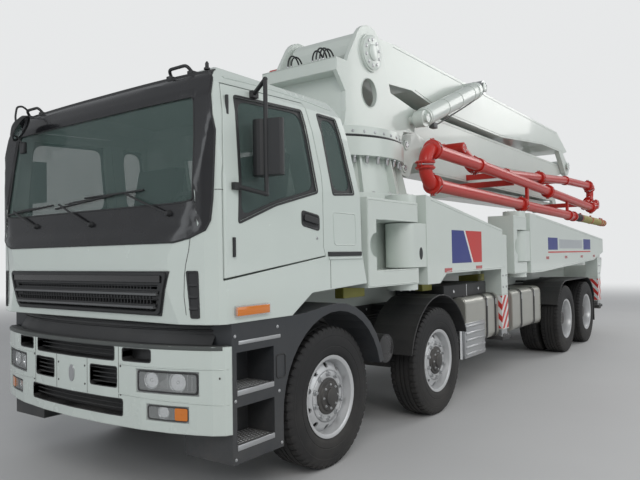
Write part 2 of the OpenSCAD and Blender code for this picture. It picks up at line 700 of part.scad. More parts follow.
module rear_leg() difference() {
    union() {
        leg_shape(rear_pin_x, [
            [rear_pin_x - 190, 1300], [rear_pin_x - 180, 2110], [rear_pin_x - 450, 2100],
            [rear_leg_end, 1810], [rear_leg_end, 1560], [rear_post_x + 600, 1420], [rear_pin_x - 750, 1300]
        ]);
        housing(rear_post_x, rear_housing_top);
    }
    housing_bore(rear_post_x);
}
module front_leg_left() placed() color("white") front_leg();
module front_leg_right() placed() color("white") side(-1) front_leg();
module front_slide_left() placed() color("white") front_slide();
module front_slide_right() placed() color("white") side(-1) front_slide();
module rear_leg_left() placed() color("white") rear_leg();
module rear_leg_right() placed() color("white") side(-1) rear_leg();
module front_jack_left() placed() color("silver") jack(front_post_x);
module front_jack_right() placed() color("silver") side(-1) jack(front_post_x);
module rear_jack_left() placed() color("silver") jack(rear_post_x);
module rear_jack_right() placed() color("silver") side(-1) jack(rear_post_x);

// DECK

tank_half_w = base_half_w - 90;
water_tank_l = 1210;
water_tank_end = rear_base_x[0] - 10 - water_tank_l;
walk_y = [rail_half_w - rail_flange + 10, base_half_w - 30];
module deck_gear() placed() color("lightgray") {
    // oil tank between the leg brackets, water tank behind them
    block(rear_base_x[1] + 60, front_base_x[0] - 60, -tank_half_w, tank_half_w, base_z[0] + 1, deck_top);
    block(water_tank_end, rear_base_x[0] - 10, -tank_half_w, tank_half_w, base_z[0] + 1, deck_top);
    both() block(hopper_front + 160, water_tank_end - 10, walk_y[0], walk_y[1], base_z[0] + 1, base_z[0] + 60);
}
pump_x = [hopper_front + 110, water_tank_end - 150];
pump_d = 290;
pump_z = base_z[0] + 170;
pump_y = 165;
module pump_unit() placed() color("gray") {
    both() disc_x(pump_x[0], pump_x[1], pump_y, pump_z, pump_d);
    // saddles on the subframe
    for (x = [pump_x[0], (pump_x[0] + pump_x[1]) / 2, pump_x[1] - 80]) {
        block(x, x + 80, -pump_y - 180, pump_y + 180, base_z[0] - 40, pump_z + 170);
        both() block(x, x + 80, pump_y + 175, rail_half_w - rail_flange - seat,
            base_z[0] - 200, base_z[0] - 30);
    }
}
module disc_x(x0, x1, y, z, d) translate([x0, y, z]) rotate([0, 90, 0]) cylinder(h = x1 - x0, d = d);

// Hopper seen from its side: x, z, inward x, inward z
hopper_line = [
    [hopper_front, hopper_top, -1, -1], [tail_x, hopper_top, 1, -1], [tail_x, 1290, 1, 0.3],
    [tail_x + 400, 720, 0.8, 1], [hopper_front - 160, 720, -1, 1], [hopper_front, 1000, -1, 0]
];
grate_l = 860;
shaft_x = hopper_front - 430;
shaft_z = 870;
paddle_r = 110;
paddle_step = 240;
module hopper() placed() color("white") {
    difference() {
        along_y(-hopper_half_w, hopper_half_w) polygon(shrink(hopper_line, 0));
        along_y(hopper_wall - hopper_half_w, hopper_half_w - hopper_wall)
            polygon(shrink(hopper_line, hopper_wall));
        // mouth under the grate
        block(tail_x + hopper_wall, tail_x + grate_l, hopper_wall - hopper_half_w,
            hopper_half_w - hopper_wall, hopper_top - 100, hopper_top + 1);
    }
    // agitator's shaft with its paddles
    disc_y(shaft_x, shaft_z, 80, hopper_wall / 2 - hopper_half_w, hopper_half_w - hopper_wall / 2);
    for (i = [-3 : 3]) translate([shaft_x, i * paddle_step, shaft_z]) rotate([0, 50 + 60 * i, 0])
        block(-paddle_r, paddle_r, -9, 9, -45, 45);
    // brackets from the subframe
    both() block(hopper_front, rail_rear, rail_half_w - 60, rail_half_w, 1000, 1300);
}
grate_cells = [4, 8];
grate_bar = 30;
grate_t = 40;
module hopper_grate() placed() color("gray") {
    z0 = hopper_top + seat;
    x0 = tail_x + 10;
    x1 = tail_x + grate_l + 20;
    y1 = hopper_half_w;
    w = (x1 - x0 - grate_bar) / grate_cells[0];
    l = (2 * y1 - grate_bar) / grate_cells[1];
    difference() {
        block(x0, x1, -y1, y1, z0, z0 + grate_t);
        for (i = [0 : grate_cells[1] - 1], j = [0 : grate_cells[0] - 1])
            block(x0 + grate_bar + j * w, x0 + j * w + w, grate_bar - y1 + i * l, i * l + l - y1,
                z0 - 1, z0 + grate_t + 1);
    }
}

// TURRET AND BOOM

turret_z = pedestal_top + flange_h[1] - flange_drop - 1 + seat;
plate_h = 110;
boom_pivot = [boom_pivot_x, 0, boom_pivot_z];
luff_foot = boom_pivot + [-900, luff_y, -570];
luff_eye = boom_pivot + [-2750, luff_y, 180];
boom_pin_d = 160;
collar_d = 400;
eye_d = 190;
cheek_front_x = turret_x + 335;
bridge_z = [boom_pivot_z - 325, boom_pivot_z - 190];
// Rows [x, z] measured from a point
function from(p, rows) = [for (r = rows) [p.x + r[0], p.z + r[1]]];
module turret() placed() color("white") {
    z = turret_z + plate_h - 10;
    difference() {
        union() {
            translate([turret_x, 0, turret_z]) cylinder(h = plate_h, r = pedestal_r[3] - 30);
            both() along_y(cheek_half_w - cheek_t, cheek_half_w) polygon(concat(
                [[turret_x - 770, z], [turret_x + 380, z], [cheek_front_x, z + 200]],
                from(boom_pivot, [[485, -290], [425, -137]]),
                arc(boom_pivot_x, boom_pivot_z, 290, 35, 150, 8), from(boom_pivot, [[-430, -340]]),
                from(luff_foot, [[-60, 150], [-160, 0], [-60, -140], [180, -160]])));
            // closed front with the hose bridge on it
            block(cheek_front_x - 70, cheek_front_x - 10, -cheek_half_w, cheek_half_w, z, bridge_z[1]);
            block(cheek_front_x - 20, cheek_front_x + 150, -cheek_half_w, cheek_half_w,
                bridge_z[0], bridge_z[1]);
            both() along_y(cheek_half_w - cheek_t, cheek_half_w) polygon([
                [cheek_front_x - 20, bridge_z[0] - 200], [cheek_front_x + 150, bridge_z[0]],
                [cheek_front_x + 150, bridge_z[1]], [cheek_front_x - 20, bridge_z[1]]
            ]);
            // collars that hold the main pin
            both() disc_y(boom_pivot_x, boom_pivot_z, collar_d, cheek_half_w - 5, cheek_half_w + 22);
        }
        both() disc_y(boom_pivot_x + 30, boom_pivot_z - 430, 300, cheek_half_w - cheek_t - 1, cheek_half_w + 1);
    }
    // main pin and the luffing cylinders' foot pins
    disc_y(boom_pivot_x, boom_pivot_z, boom_pin_d, -cheek_half_w, cheek_half_w);
    both() disc_y(luff_foot.x, luff_foot.z, eye_d - 100, cheek_half_w - 10, luff_y + 95);
}
luff_rod_d = 120;
luff_wall = 25;
luff_v = luff_eye - luff_foot;
luff_len = norm(luff_v);
luff_dir = luff_v / luff_len;
barrel_l = luff_len - 190;
module luff_barrels() placed() color("white") both() difference() {
    union() {
        bar(luff_foot + luff_dir * 60, luff_foot + luff_dir * barrel_l, luff_bore + 2 * luff_wall);
        disc_y(luff_foot.x, luff_foot.z, eye_d, luff_y - 60, luff_y + 60);
    }
    bar(luff_foot + luff_dir * 140, luff_foot + luff_dir * (barrel_l + 10), luff_bore);
    disc_y(luff_foot.x, luff_foot.z, eye_d - 99, luff_y - 61, luff_y + 61);
}
module luff_rods() placed() color("silver") both() {
    bar(luff_foot + luff_dir * 420, luff_eye, luff_rod_d);
    bar(luff_foot + luff_dir * 200, luff_foot + luff_dir * 421, luff_bore - 2);
    disc_y(luff_eye.x, luff_eye.z, eye_d, luff_y - 60, luff_y + 60);
    disc_y(luff_eye.x, luff_eye.z, eye_d - 100, luff_y - 80, luff_y + 80);
}

// Elbow pins; the sections fold back over each other
elbow_a = boom_pivot + [-boom_1_l, 0, -340];
elbow_b = elbow_a + [boom_2_l, 0, -520];
elbow_c = elbow_b + [-boom_3_l, 0, -340];
fork_gap = 10;
elbow_pin_d = 110;
tip_pin_d = 80;
module boom_1() placed() color("white") difference() {
    union() {
        along_y(-boom_1_half_w, boom_1_half_w) polygon(concat(
            arc(boom_pivot_x, boom_pivot_z, 240, -100, 80, 8), from(boom_pivot, [[-700, 290]]),
            from(elbow_a, [[700, 630], [-50, 320], [200, 260], [1700, 245], [3900, 60]]),
            from(boom_pivot, [[-2000, -280], [-1100, -160]])));
        // elbow cheeks outside the second section
        both() along_y(boom_2_half_w + fork_gap, boom_1_half_w) polygon(concat(
            from(elbow_a, [[400, 320]]), arc(elbow_a.x, elbow_a.z, 190, 180, 330, 8),
            from(elbow_a, [[600, 280], [-50, 380]])));
        both() disc_y(luff_eye.x, luff_eye.z, eye_d, boom_1_half_w - 1, luff_y - 90);
    }
    disc_y(boom_pivot_x, boom_pivot_z, boom_pin_d + 1, -500, 500);
    disc_y(elbow_a.x, elbow_a.z, elbow_pin_d + 1, -500, 500);
}
module boom_2() placed() color("white") {
    difference() {
        union() {
            along_y(-boom_2_half_w, boom_2_half_w) polygon(concat(
                arc(elbow_a.x, elbow_a.z, 150, 110, 280, 8), from(elbow_a, [[900, -320], [3900, -420]]),
                from(elbow_b, [[-600, 85], [150, 130], [200, 530]]), from(elbow_a, [[300, 20]])));
            both() along_y(boom_3_half_w + fork_gap, boom_2_half_w) polygon(concat(
                from(elbow_b, [[-300, 140]]), arc(elbow_b.x, elbow_b.z, 140, 200, 360, 8),
                from(elbow_b, [[150, 190]])));
        }
        disc_y(elbow_b.x, elbow_b.z, elbow_pin_d + 1, -500, 500);
    }
    disc_y(elbow_a.x, elbow_a.z, elbow_pin_d, -boom_1_half_w - 30, boom_1_half_w + 30);
}
module boom_3() placed() color("white") {
    difference() {
        union() {
            along_y(-boom_3_half_w, boom_3_half_w) polygon(concat(
                arc(elbow_b.x, elbow_b.z, 120, -90, 90, 8), from(elbow_b, [[-200, 65]]),
                from(elbow_c, [[100, 330], [0, 130], [500, 110]]), from(elbow_b, [[-200, -220]])));
            both() along_y(boom_4_half_w + fork_gap, boom_3_half_w) polygon(concat(
                from(elbow_c, [[40, 220]]), arc(elbow_c.x, elbow_c.z, 110, 170, 340, 8),
                from(elbow_c, [[250, 160]])));
        }
        disc_y(elbow_c.x, elbow_c.z, tip_pin_d + 1, -500, 500);
    }
    disc_y(elbow_b.x, elbow_b.z, elbow_pin_d, -boom_2_half_w - 30, boom_2_half_w + 30);
}
module boom_4() placed() color("white") {
    along_y(-boom_4_half_w, boom_4_half_w) polygon(concat(
        arc(elbow_c.x, elbow_c.z, 95, 90, 270, 8),
        from(elbow_c, [[boom_4_l, -130], [boom_4_l, 70], [200, 80]])));
    disc_y(elbow_c.x, elbow_c.z, tip_pin_d, -boom_3_half_w - 25, boom_3_half_w + 25);
}

// Pipes beside the sections, joined on the elbows' axes; stays at points [x, z] reach from the
// section's side at y0 into the pipe at y1
module stays(points, y0, y1) for (p = points)
    block(p[0] - 30, p[0] + 30, y0 + seat, y1 - 30, p[1] - 40, p[1] + 40);
right_pipe_y = luff_y + luff_bore / 2 + luff_wall + swing_gap + 12 + pipe_d / 2;
module boom_1_pipe() placed() color("#c03025") side(-1) {
    pipe_run(concat(from(boom_pivot, [[0, 0], [-600, 110]]), from(elbow_a, [[400, 450], [0, 130]])),
        right_pipe_y, pipe_d);
    stays(concat(from(boom_pivot, [[-3400, 110]]), from(elbow_a, [[1000, 450]])), boom_1_half_w, right_pipe_y);
}
module boom_2_pipe() placed() color("#c03025") side(-1) {
    pipe_run(concat(from(elbow_a, [[0, -130], [220, -260]]), from(elbow_b, [[-380, 240], [0, 40]])),
        right_pipe_y, pipe_d);
    stays(concat(from(elbow_a, [[700, -262]]), from(elbow_b, [[-1600, 244]])), boom_2_half_w, right_pipe_y);
}
pipe_3_y = 820;
module boom_3_pipe() placed() color("#c03025") {
    pipe_run(concat(from(elbow_b, [[0, 0], [-450, -160], [-1640, -160]]),
        from(elbow_c, [[1500, 370], [-350, 420], [-560, 170], [0, 0]])), pipe_3_y, pipe_d);
    stays(concat(from(elbow_b, [[-1640, -160]]), from(elbow_c, [[1500, 370]])), boom_3_half_w, pipe_3_y);
}
pipe_4_y = pipe_3_y + pipe_d + 40;
return_h = 2 * pipe_bend_r + 10;
// The line that comes back under the fourth section, and the tip hose in line with it
tip_from = [elbow_c.x + 7600, elbow_c.z - 205];
tip_to = [elbow_c.x + 1700, elbow_c.z - 310];
tip_dir = (tip_to - tip_from) / norm(tip_to - tip_from);
hose_l = 2330;
hose_d = 132;
spigot_l = 120;
spigot_d = 114;
clip_x = [elbow_c.x + 4300, elbow_c.x + 2100];
module boom_4_pipe() placed() color("#c03025") {
    pipe_run(concat(from(elbow_c, [[0, 0], [340, -80], [6130, 135]]),
        [[tip_from.x, tip_from.y + return_h], tip_from, tip_to]), pipe_4_y, pipe_d);
    stays(from(elbow_c, [[4800, 40], [1000, -54]]), boom_4_half_w, pipe_4_y);
    // clips that carry the folded tip line
    for (x = clip_x) block(x - 30, x + 30, pipe_4_y - 20, pipe_4_y + 20, elbow_c.z - 290, elbow_c.z + 40);
}
module end_hose() placed() color("#8a8a3c") {
    a = tip_to + tip_dir * seat;
    b = tip_to + tip_dir * hose_l;
    c = b + tip_dir * spigot_l;
    bar([a.x, pipe_4_y, a.y], [b.x, pipe_4_y, b.y], hose_d);
    bar([b.x, pipe_4_y, b.y], [c.x, pipe_4_y, c.y], spigot_d);
}

// Delivery pipe from the pump to the turret along the right of the deck
deck_pipe_z = deck_top + coupling_d / 2 + 4;
deck_pipe_y = 620;
module deck_pipe() placed() color("#c03025") side(-1) {
    pipe_run([[hopper_front + 130, 1600], [water_tank_end - 600, 1800], [water_tank_end - 100, deck_pipe_z],
        [front_base_x[0] - seat, deck_pipe_z]], deck_pipe_y, pipe_d);
    for (x = [front_base_x[0] - 980, water_tank_end + 500])
        block(x - 30, x + 30, deck_pipe_y - 40, deck_pipe_y + 40,
            deck_top + seat, deck_pipe_z);
}

// WHEELS

module knuckle(x) {
    e = kingpin_eye_h / 2 + 0.5;
    y_plate = [kingpin_y + 62, kingpin_y + 95];
    for (s = [-1, 1]) {
        z0 = wheel_z + (s > 0 ? e : -e - 45);
        disc_z(x, kingpin_y, 110, z0, z0 + 45);
        block(x - 45, x + 45, kingpin_y, y_plate[1], z0, z0 + 45);
    }
    block(x - 50, x + 50, y_plate[0], y_plate[1], wheel_z - e - 45, wheel_z + e + 45);
    disc_y(x, wheel_z, stub_d, y_plate[1] - 1, front_track_y + 45);
}
// Half sections: distance from the axle, place across the wheel
module tyre() rotate([-90, 0, 0]) rotate_extrude($fn = 64) {
    r = bead_d / 2;
    w = tyre_w / 2;
    polygon([
        [r + seat, -w + 32], [r + 26, -w + 26], [r + 44, -w + 4], [r + 120, -w], [wheel_z - 22, -w + 12],
        [wheel_z, -w + 34], [wheel_z, w - 34], [wheel_z - 22, w - 12], [r + 120, w],
        [r + 44, w - 4], [r + 26, w - 26], [r + seat, w - 32]
    ]);
}
module rim_ring(w) rotate([-90, 0, 0]) rotate_extrude($fn = 64) {
    r = bead_d / 2;
    polygon([
        [r - 16, -w], [r + 20, -w], [r + 20, -w + 8], [r, -w + 14], [r, w - 14], [r + 20, w - 8],
        [r + 20, w], [r - 16, w]
    ]);
}
module tube_y(d1, d0, y0, y1) difference() {
    disc_y(0, 0, d1, y0, y1);
    disc_y(0, 0, d0, y0 - 1, y1 + 1);
}
hub_clear = 1;
module front_wheel(x) translate([x, front_track_y, wheel_z]) {
    tyre();
    difference() {
        union() {
            rim_ring(tyre_w / 2 - 14);
            disc_y(0, 0, bead_d - 20, 62, 78);
            disc_y(0, 0, 260, -20, 100);
        }
        disc_y(0, 0, stub_d + 2 * hub_clear, -21, 60);
    }
}
module rear_wheel(x) translate([x, rear_track_y, wheel_z]) {
    for (y = [-twin_gap / 2, twin_gap / 2]) translate([0, y, 0]) tyre();
    difference() {
        union() {
            for (y = [-twin_gap / 2, twin_gap / 2]) translate([0, y, 0]) rim_ring(tyre_w / 2 - 14);
            disc_y(0, 0, bead_d - 20, -14, 14);
            tube_y(bead_d - 10, bead_d - 40, -50, 50);
            disc_y(0, 0, 260, -60, 235);
        }
        disc_y(0, 0, stub_d + 2 * hub_clear, -61, rear_stub_y - rear_track_y + 20);
    }
}
module knuckle_left_1() placed() color("dimgray") knuckle(axle_x[0]);
module knuckle_right_1() placed() color("dimgray") side(-1) knuckle(axle_x[0]);
module knuckle_left_2() placed() color("dimgray") knuckle(axle_x[1]);
module knuckle_right_2() placed() color("dimgray") side(-1) knuckle(axle_x[1]);
module wheel_left_1() placed() color("#26282a") front_wheel(axle_x[0]);
module wheel_right_1() placed() color("#26282a") side(-1) front_wheel(axle_x[0]);
module wheel_left_2() placed() color("#26282a") front_wheel(axle_x[1]);
module wheel_right_2() placed() color("#26282a") side(-1) front_wheel(axle_x[1]);
module wheel_left_3() placed() color("#26282a") rear_wheel(axle_x[2]);
module wheel_right_3() placed() color("#26282a") side(-1) rear_wheel(axle_x[2]);
module wheel_left_4() placed() color("#26282a") rear_wheel(axle_x[3]);
module wheel_right_4() placed() color("#26282a") side(-1) rear_wheel(axle_x[3]);

chassis_frame();
engine_block();
axles();
fuel_tanks();
side_gear();
mudguards();
cab_shell();
cab_glass();
cab_interior();
grille();
bumper();
lamps();
cab_steps();
outrigger_base();
deck_gear();
pump_unit();
hopper();
deck_pipe();
door_left();
door_right();
door_glass_left();
door_glass_right();
mirror_left();
mirror_right();
knuckle_left_1();
knuckle_right_1();
knuckle_left_2();
knuckle_right_2();
wheel_left_1();
wheel_right_1();
wheel_left_2();
wheel_right_2();
wheel_left_3();
wheel_right_3();
wheel_left_4();
wheel_right_4();
hopper_grate();
turret();
boom_1();
boom_2();
boom_3();
boom_4();
boom_1_pipe();
boom_2_pipe();
boom_3_pipe();
boom_4_pipe();
end_hose();
luff_barrels();
luff_rods();
front_leg_left();
front_leg_right();
front_slide_left();
front_slide_right();
rear_leg_left();
rear_leg_right();
front_jack_left();
front_jack_right();
rear_jack_left();
rear_jack_right();
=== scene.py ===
import json
import math
from math import cos, pi, sin

import bmesh
import bpy
from mathutils import Matrix, Vector
from mathutils.bvhtree import BVHTree


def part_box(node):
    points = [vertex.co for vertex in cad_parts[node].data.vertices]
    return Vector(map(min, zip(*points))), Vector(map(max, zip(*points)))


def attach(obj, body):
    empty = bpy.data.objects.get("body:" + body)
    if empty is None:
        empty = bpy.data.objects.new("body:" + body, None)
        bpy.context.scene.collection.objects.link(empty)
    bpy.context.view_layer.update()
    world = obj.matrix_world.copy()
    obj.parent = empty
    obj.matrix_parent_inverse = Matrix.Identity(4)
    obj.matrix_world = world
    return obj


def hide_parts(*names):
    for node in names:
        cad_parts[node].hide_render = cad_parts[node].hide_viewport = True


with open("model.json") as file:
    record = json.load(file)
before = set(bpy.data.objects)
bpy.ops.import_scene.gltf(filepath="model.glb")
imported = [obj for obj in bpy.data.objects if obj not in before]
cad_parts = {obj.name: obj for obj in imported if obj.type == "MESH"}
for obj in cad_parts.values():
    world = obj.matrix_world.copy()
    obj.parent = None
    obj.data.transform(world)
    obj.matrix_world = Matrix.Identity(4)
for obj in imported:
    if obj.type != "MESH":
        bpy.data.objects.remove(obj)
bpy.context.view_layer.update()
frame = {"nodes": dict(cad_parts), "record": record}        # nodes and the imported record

scene = bpy.context.scene
cadNodes = frame["nodes"]
wheelLow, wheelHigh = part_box("wheel_left_1")
firstAxleX = (wheelLow[0] + wheelHigh[0]) / 2     # places along X are given from the first axle


def at(x, y, z):
    return Vector((x + firstAxleX, y, z))


# View, floor and light

view = {
    "place": (3.8265, 3.8715, 1.5811),      # from the first axle, metres
    "yaw": -144.0117, "pitch": 1.4308, "roll": -0.9439,
    "lens": 34.944, "sensor": 36.0, "reach": 200,
}


def makeCamera():
    yaw, pitch, roll = (math.radians(view[k]) for k in ("yaw", "pitch", "roll"))
    ahead = Vector((cos(yaw) * cos(pitch), sin(yaw) * cos(pitch), sin(pitch)))
    right = Vector((sin(yaw), -cos(yaw), 0))
    up = right.cross(ahead)
    tiltedRight = right * cos(roll) + up * sin(roll)
    tiltedUp = up * cos(roll) - right * sin(roll)
    camera = bpy.data.objects.new("camera", bpy.data.cameras.new("camera"))
    camera.data.lens = view["lens"]
    camera.data.sensor_width = view["sensor"]
    camera.data.clip_end = view["reach"]
    turn = Matrix((tiltedRight, tiltedUp, -ahead)).transposed().to_4x4()
    camera.matrix_world = Matrix.Translation(at(*view["place"])) @ turn
    scene.collection.objects.link(camera)
    scene.camera = camera


studio = {
    "floor": 0.62, "floorRoughness": 0.55, "floorSize": 160.0, "backdrop": (0.80, 0.81, 0.815),
    "cloudScale": 0.7, "cloudSpread": 0.04,  # the floor's faint unevenness
    "fadeFrom": 9.0, "fadeTo": 26.0,         # where the floor runs into the backdrop, from the middle
    "world": (0.86, 0.89, 0.92), "worldStrength": 0.40,
    # name: place, aim, size, power, colour
    "lamps": {
        "keyLamp": ((9.0, 9.0, 9.5), (-1.0, 0, 1.5), 7.0, 640, (1.0, 0.985, 0.96)),
        "fillLamp": ((12.0, -5.0, 5.0), (0, 0, 1.5), 6.0, 190, (0.93, 0.97, 1.0)),
        "rearLamp": ((-14.0, 5.0, 8.0), (-6.0, 0, 1.5), 6.0, 330, (1.0, 0.99, 0.97)),
        "sideLamp": ((-4.0, 12.0, 6.0), (-4.0, 0, 1.6), 8.0, 300, (0.97, 0.99, 1.0)),
    },
}


def setOrLink(tree, socket, value):
    # a number, a colour or another node's output goes to a socket
    if isinstance(value, (int, float)):
        socket.default_value = value
    elif isinstance(value, tuple):
        socket.default_value = (*value[:3], 1)
    else:
        tree.links.new(value, socket)


def feed(tree, node, inputs):
    for label, value in inputs.items():
        setOrLink(tree, node.inputs[label], value)


def newNode(tree, kind, inputs, **settings):
    node = tree.nodes.new("ShaderNode" + kind)
    for name, value in settings.items():
        setattr(node, name, value)
    feed(tree, node, inputs)
    return node


def paleToCamera(tree, shader, output):
    # seen straight on or through glass, the air is a plain pale field
    path = tree.nodes.new("ShaderNodeLightPath")
    glow = newNode(tree, "Background", {"Color": studio["backdrop"], "Strength": 1.0})
    rays = {0: path.outputs["Is Camera Ray"], 1: path.outputs["Is Transmission Ray"]}
    either = newNode(tree, "Math", rays, operation="MAXIMUM")
    mix = newNode(tree, "MixShader", {0: either.outputs[0], 1: shader, 2: glow.outputs[0]})
    tree.links.new(mix.outputs[0], output.inputs["Surface"])


def newMaterial(name):
    material = bpy.data.materials.new(name)
    material.use_nodes = True
    tree = material.node_tree
    coords = tree.nodes.new("ShaderNodeTexCoord").outputs["Object"]
    return material, tree, tree.nodes["Principled BSDF"], coords


def makeFloorFinish():
    material, tree, shader, coords = newMaterial("floorFinish")
    cloud = newNode(tree, "TexNoise", {"Vector": coords, "Scale": studio["cloudScale"]})
    spread = studio["floor"] * studio["cloudSpread"]
    shade = newNode(tree, "MapRange", {"Value": cloud.outputs["Fac"], "To Min": studio["floor"] - spread,
                                       "To Max": studio["floor"] + spread})
    feed(tree, shader, {"Base Color": shade.outputs["Result"], "Roughness": studio["floorRoughness"]})
    distance = newNode(tree, "VectorMath", {0: coords}, operation="LENGTH")
    fade = newNode(tree, "MapRange", {"Value": distance.outputs["Value"], "From Min": studio["fadeFrom"],
                                      "From Max": studio["fadeTo"]}, interpolation_type="SMOOTHSTEP")
    glow = newNode(tree, "Emission", {"Color": studio["backdrop"]})
    blend = newNode(tree, "MixShader", {0: fade.outputs["Result"], 1: shader.outputs[0], 2: glow.outputs[0]})
    tree.links.new(blend.outputs[0], tree.nodes["Material Output"].inputs["Surface"])
    return material


def makeFloor():
    bm = bmesh.new()
    bmesh.ops.create_grid(bm, x_segments=2, y_segments=2, size=studio["floorSize"] / 2)
    mesh = bpy.data.meshes.new("floor")
    bm.to_mesh(mesh)
    bm.free()
    floor = bpy.data.objects.new("floor", mesh)
    scene.collection.objects.link(floor)
    mesh.materials.append(makeFloorFinish())


def makeWorld():
    world = bpy.data.worlds.new("world")
    scene.world = world
    world.use_nodes = True
    tree = world.node_tree
    tree.nodes.clear()
    output = tree.nodes.new("ShaderNodeOutputWorld")
    sky = newNode(tree, "Background", {"Color": studio["world"], "Strength": studio["worldStrength"]})
    paleToCamera(tree, sky.outputs[0], output)


def makeLamps():
    for name, (place, aim, size, power, colour) in studio["lamps"].items():
        lamp = bpy.data.lights.new(name, "AREA")
        lamp.shape = "SQUARE"
        lamp.size = size
        lamp.energy = power
        lamp.color = colour
        holder = bpy.data.objects.new(name, lamp)
        holder.location = at(*place)
        holder.rotation_euler = (at(*aim) - at(*place)).to_track_quat("-Z", "Y").to_euler()
        scene.collection.objects.link(holder)


scene.view_settings.view_transform = "Standard"
makeCamera()
makeFloor()
makeWorld()
makeLamps()
print("view, floor and light are in place")


# Shared effects as node groups: colours, masks, values and normals only

def newGroup(name, inputs, outputs):
    group = bpy.data.node_groups.new(name, "ShaderNodeTree")
    for label, kind, value in inputs:
        socket = group.interface.new_socket(name=label, in_out="INPUT", socket_type=kind)
        if value is not None:
            socket.default_value = value
    for label, kind in outputs:
        group.interface.new_socket(name=label, in_out="OUTPUT", socket_type=kind)
    source = group.nodes.new("NodeGroupInput")
    target = group.nodes.new("NodeGroupOutput")
    return group, source.outputs, target.inputs


def mathNode(tree, operation, *values, clamp=False):
    return newNode(tree, "Math", dict(enumerate(values)), operation=operation, use_clamp=clamp).outputs[0]


def noiseNode(tree, vector, scale, detail, roughness):
    look = {"Vector": vector, "Scale": scale, "Detail": detail, "Roughness": roughness}
    return newNode(tree, "TexNoise", look).outputs["Fac"]


def mixColour(tree, mask, a, b):
    return newNode(tree, "Mix", {"Factor": mask, "A": a, "B": b}, data_type="RGBA").outputs["Result"]


def splitAxes(tree, vector):
    return newNode(tree, "SeparateXYZ", {0: vector}).outputs


def makeGrimeGroup():
    # dust that lies on upward faces and low down, with a wandering edge
    group, source, target = newGroup("roadDust", (
        ("Vector", "NodeSocketVector", None), ("Colour", "NodeSocketColor", (0.8, 0.8, 0.8, 1)),
        ("Dust", "NodeSocketColor", (0.33, 0.30, 0.26, 1)), ("Amount", "NodeSocketFloat", 0.3),
        ("Height", "NodeSocketFloat", 1.0)), (("Colour", "NodeSocketColor"), ("Mask", "NodeSocketFloat")))
    low = mathNode(group, "DIVIDE", splitAxes(group, source["Vector"])["Z"], source["Height"])
    low = mathNode(group, "SUBTRACT", 1.0, low, clamp=True)
    normal = splitAxes(group, newNode(group, "NewGeometry", {}).outputs["Normal"])
    upward = mathNode(group, "MULTIPLY", normal["Z"], 0.45, clamp=True)
    cloud = noiseNode(group, source["Vector"], 3.1, 6.0, 0.62)
    speck = noiseNode(group, source["Vector"], 42.0, 3.0, 0.6)
    mask = mathNode(group, "ADD", low, upward)
    mask = mathNode(group, "MULTIPLY", mask, mathNode(group, "MULTIPLY_ADD", cloud, 2.2, -0.6, clamp=True))
    mask = mathNode(group, "MULTIPLY", mask, mathNode(group, "MULTIPLY_ADD", speck, 0.9, 0.5))
    mask = mathNode(group, "MULTIPLY", mask, source["Amount"], clamp=True)
    group.links.new(mixColour(group, mask, source["Colour"], source["Dust"]), target["Colour"])
    group.links.new(mask, target["Mask"])
    return group


def makeEdgeGroup():
    # where a rounded copy of the surface turns away from the true one there is an edge
    group, source, target = newGroup("softEdge", (
        ("Vector", "NodeSocketVector", None), ("Radius", "NodeSocketFloat", 0.004)),
        (("Normal", "NodeSocketVector"), ("Worn", "NodeSocketFloat")))
    bevel = newNode(group, "Bevel", {"Radius": source["Radius"]}, samples=6)
    facing = newNode(group, "NewGeometry", {})
    normals = {0: bevel.outputs["Normal"], 1: facing.outputs["Normal"]}
    dot = newNode(group, "VectorMath", normals, operation="DOT_PRODUCT")
    edge = mathNode(group, "SUBTRACT", 1.0, dot.outputs["Value"])
    ragged = noiseNode(group, source["Vector"], 23.0, 5.0, 0.7)
    ragged = mathNode(group, "MULTIPLY_ADD", ragged, 4.0, -1.7, clamp=True)
    worn = mathNode(group, "MULTIPLY", mathNode(group, "MULTIPLY", edge, 6.0, clamp=True), ragged,
                    clamp=True)
    group.links.new(bevel.outputs["Normal"], target["Normal"])
    group.links.new(worn, target["Worn"])
    return group


def makeGrainGroup():
    # fine height variation: a broad wave and a fine grain, each with its own weight
    group, source, target = newGroup("surfaceGrain", (
        ("Vector", "NodeSocketVector", None), ("Fine", "NodeSocketFloat", 400.0),
        ("Broad", "NodeSocketFloat", 6.0), ("Wave", "NodeSocketFloat", 0.5)),
        (("Height", "NodeSocketFloat"), ("Value", "NodeSocketFloat")))
    fine, broad = (newNode(group, "TexNoise",
                           {"Vector": source["Vector"], "Scale": source[label], "Detail": 4.0})
                   for label in ("Fine", "Broad"))
    waves = mathNode(group, "MULTIPLY", broad.outputs["Fac"], source["Wave"])
    group.links.new(mathNode(group, "ADD", fine.outputs["Fac"], waves), target["Height"])
    group.links.new(broad.outputs["Fac"], target["Value"])
    return group


grimeGroup = makeGrimeGroup()
edgeGroup = makeEdgeGroup()
grainGroup = makeGrainGroup()


def useGroup(tree, group, **inputs):
    return newNode(tree, "Group", inputs, node_tree=group).outputs


# Finishes. Each is worked out from Object coordinates, which are the machine's own metres.
# worn is the colour of rubbed edges, fine the grain's scale, mottle the spread of the colour.

finishes = {}


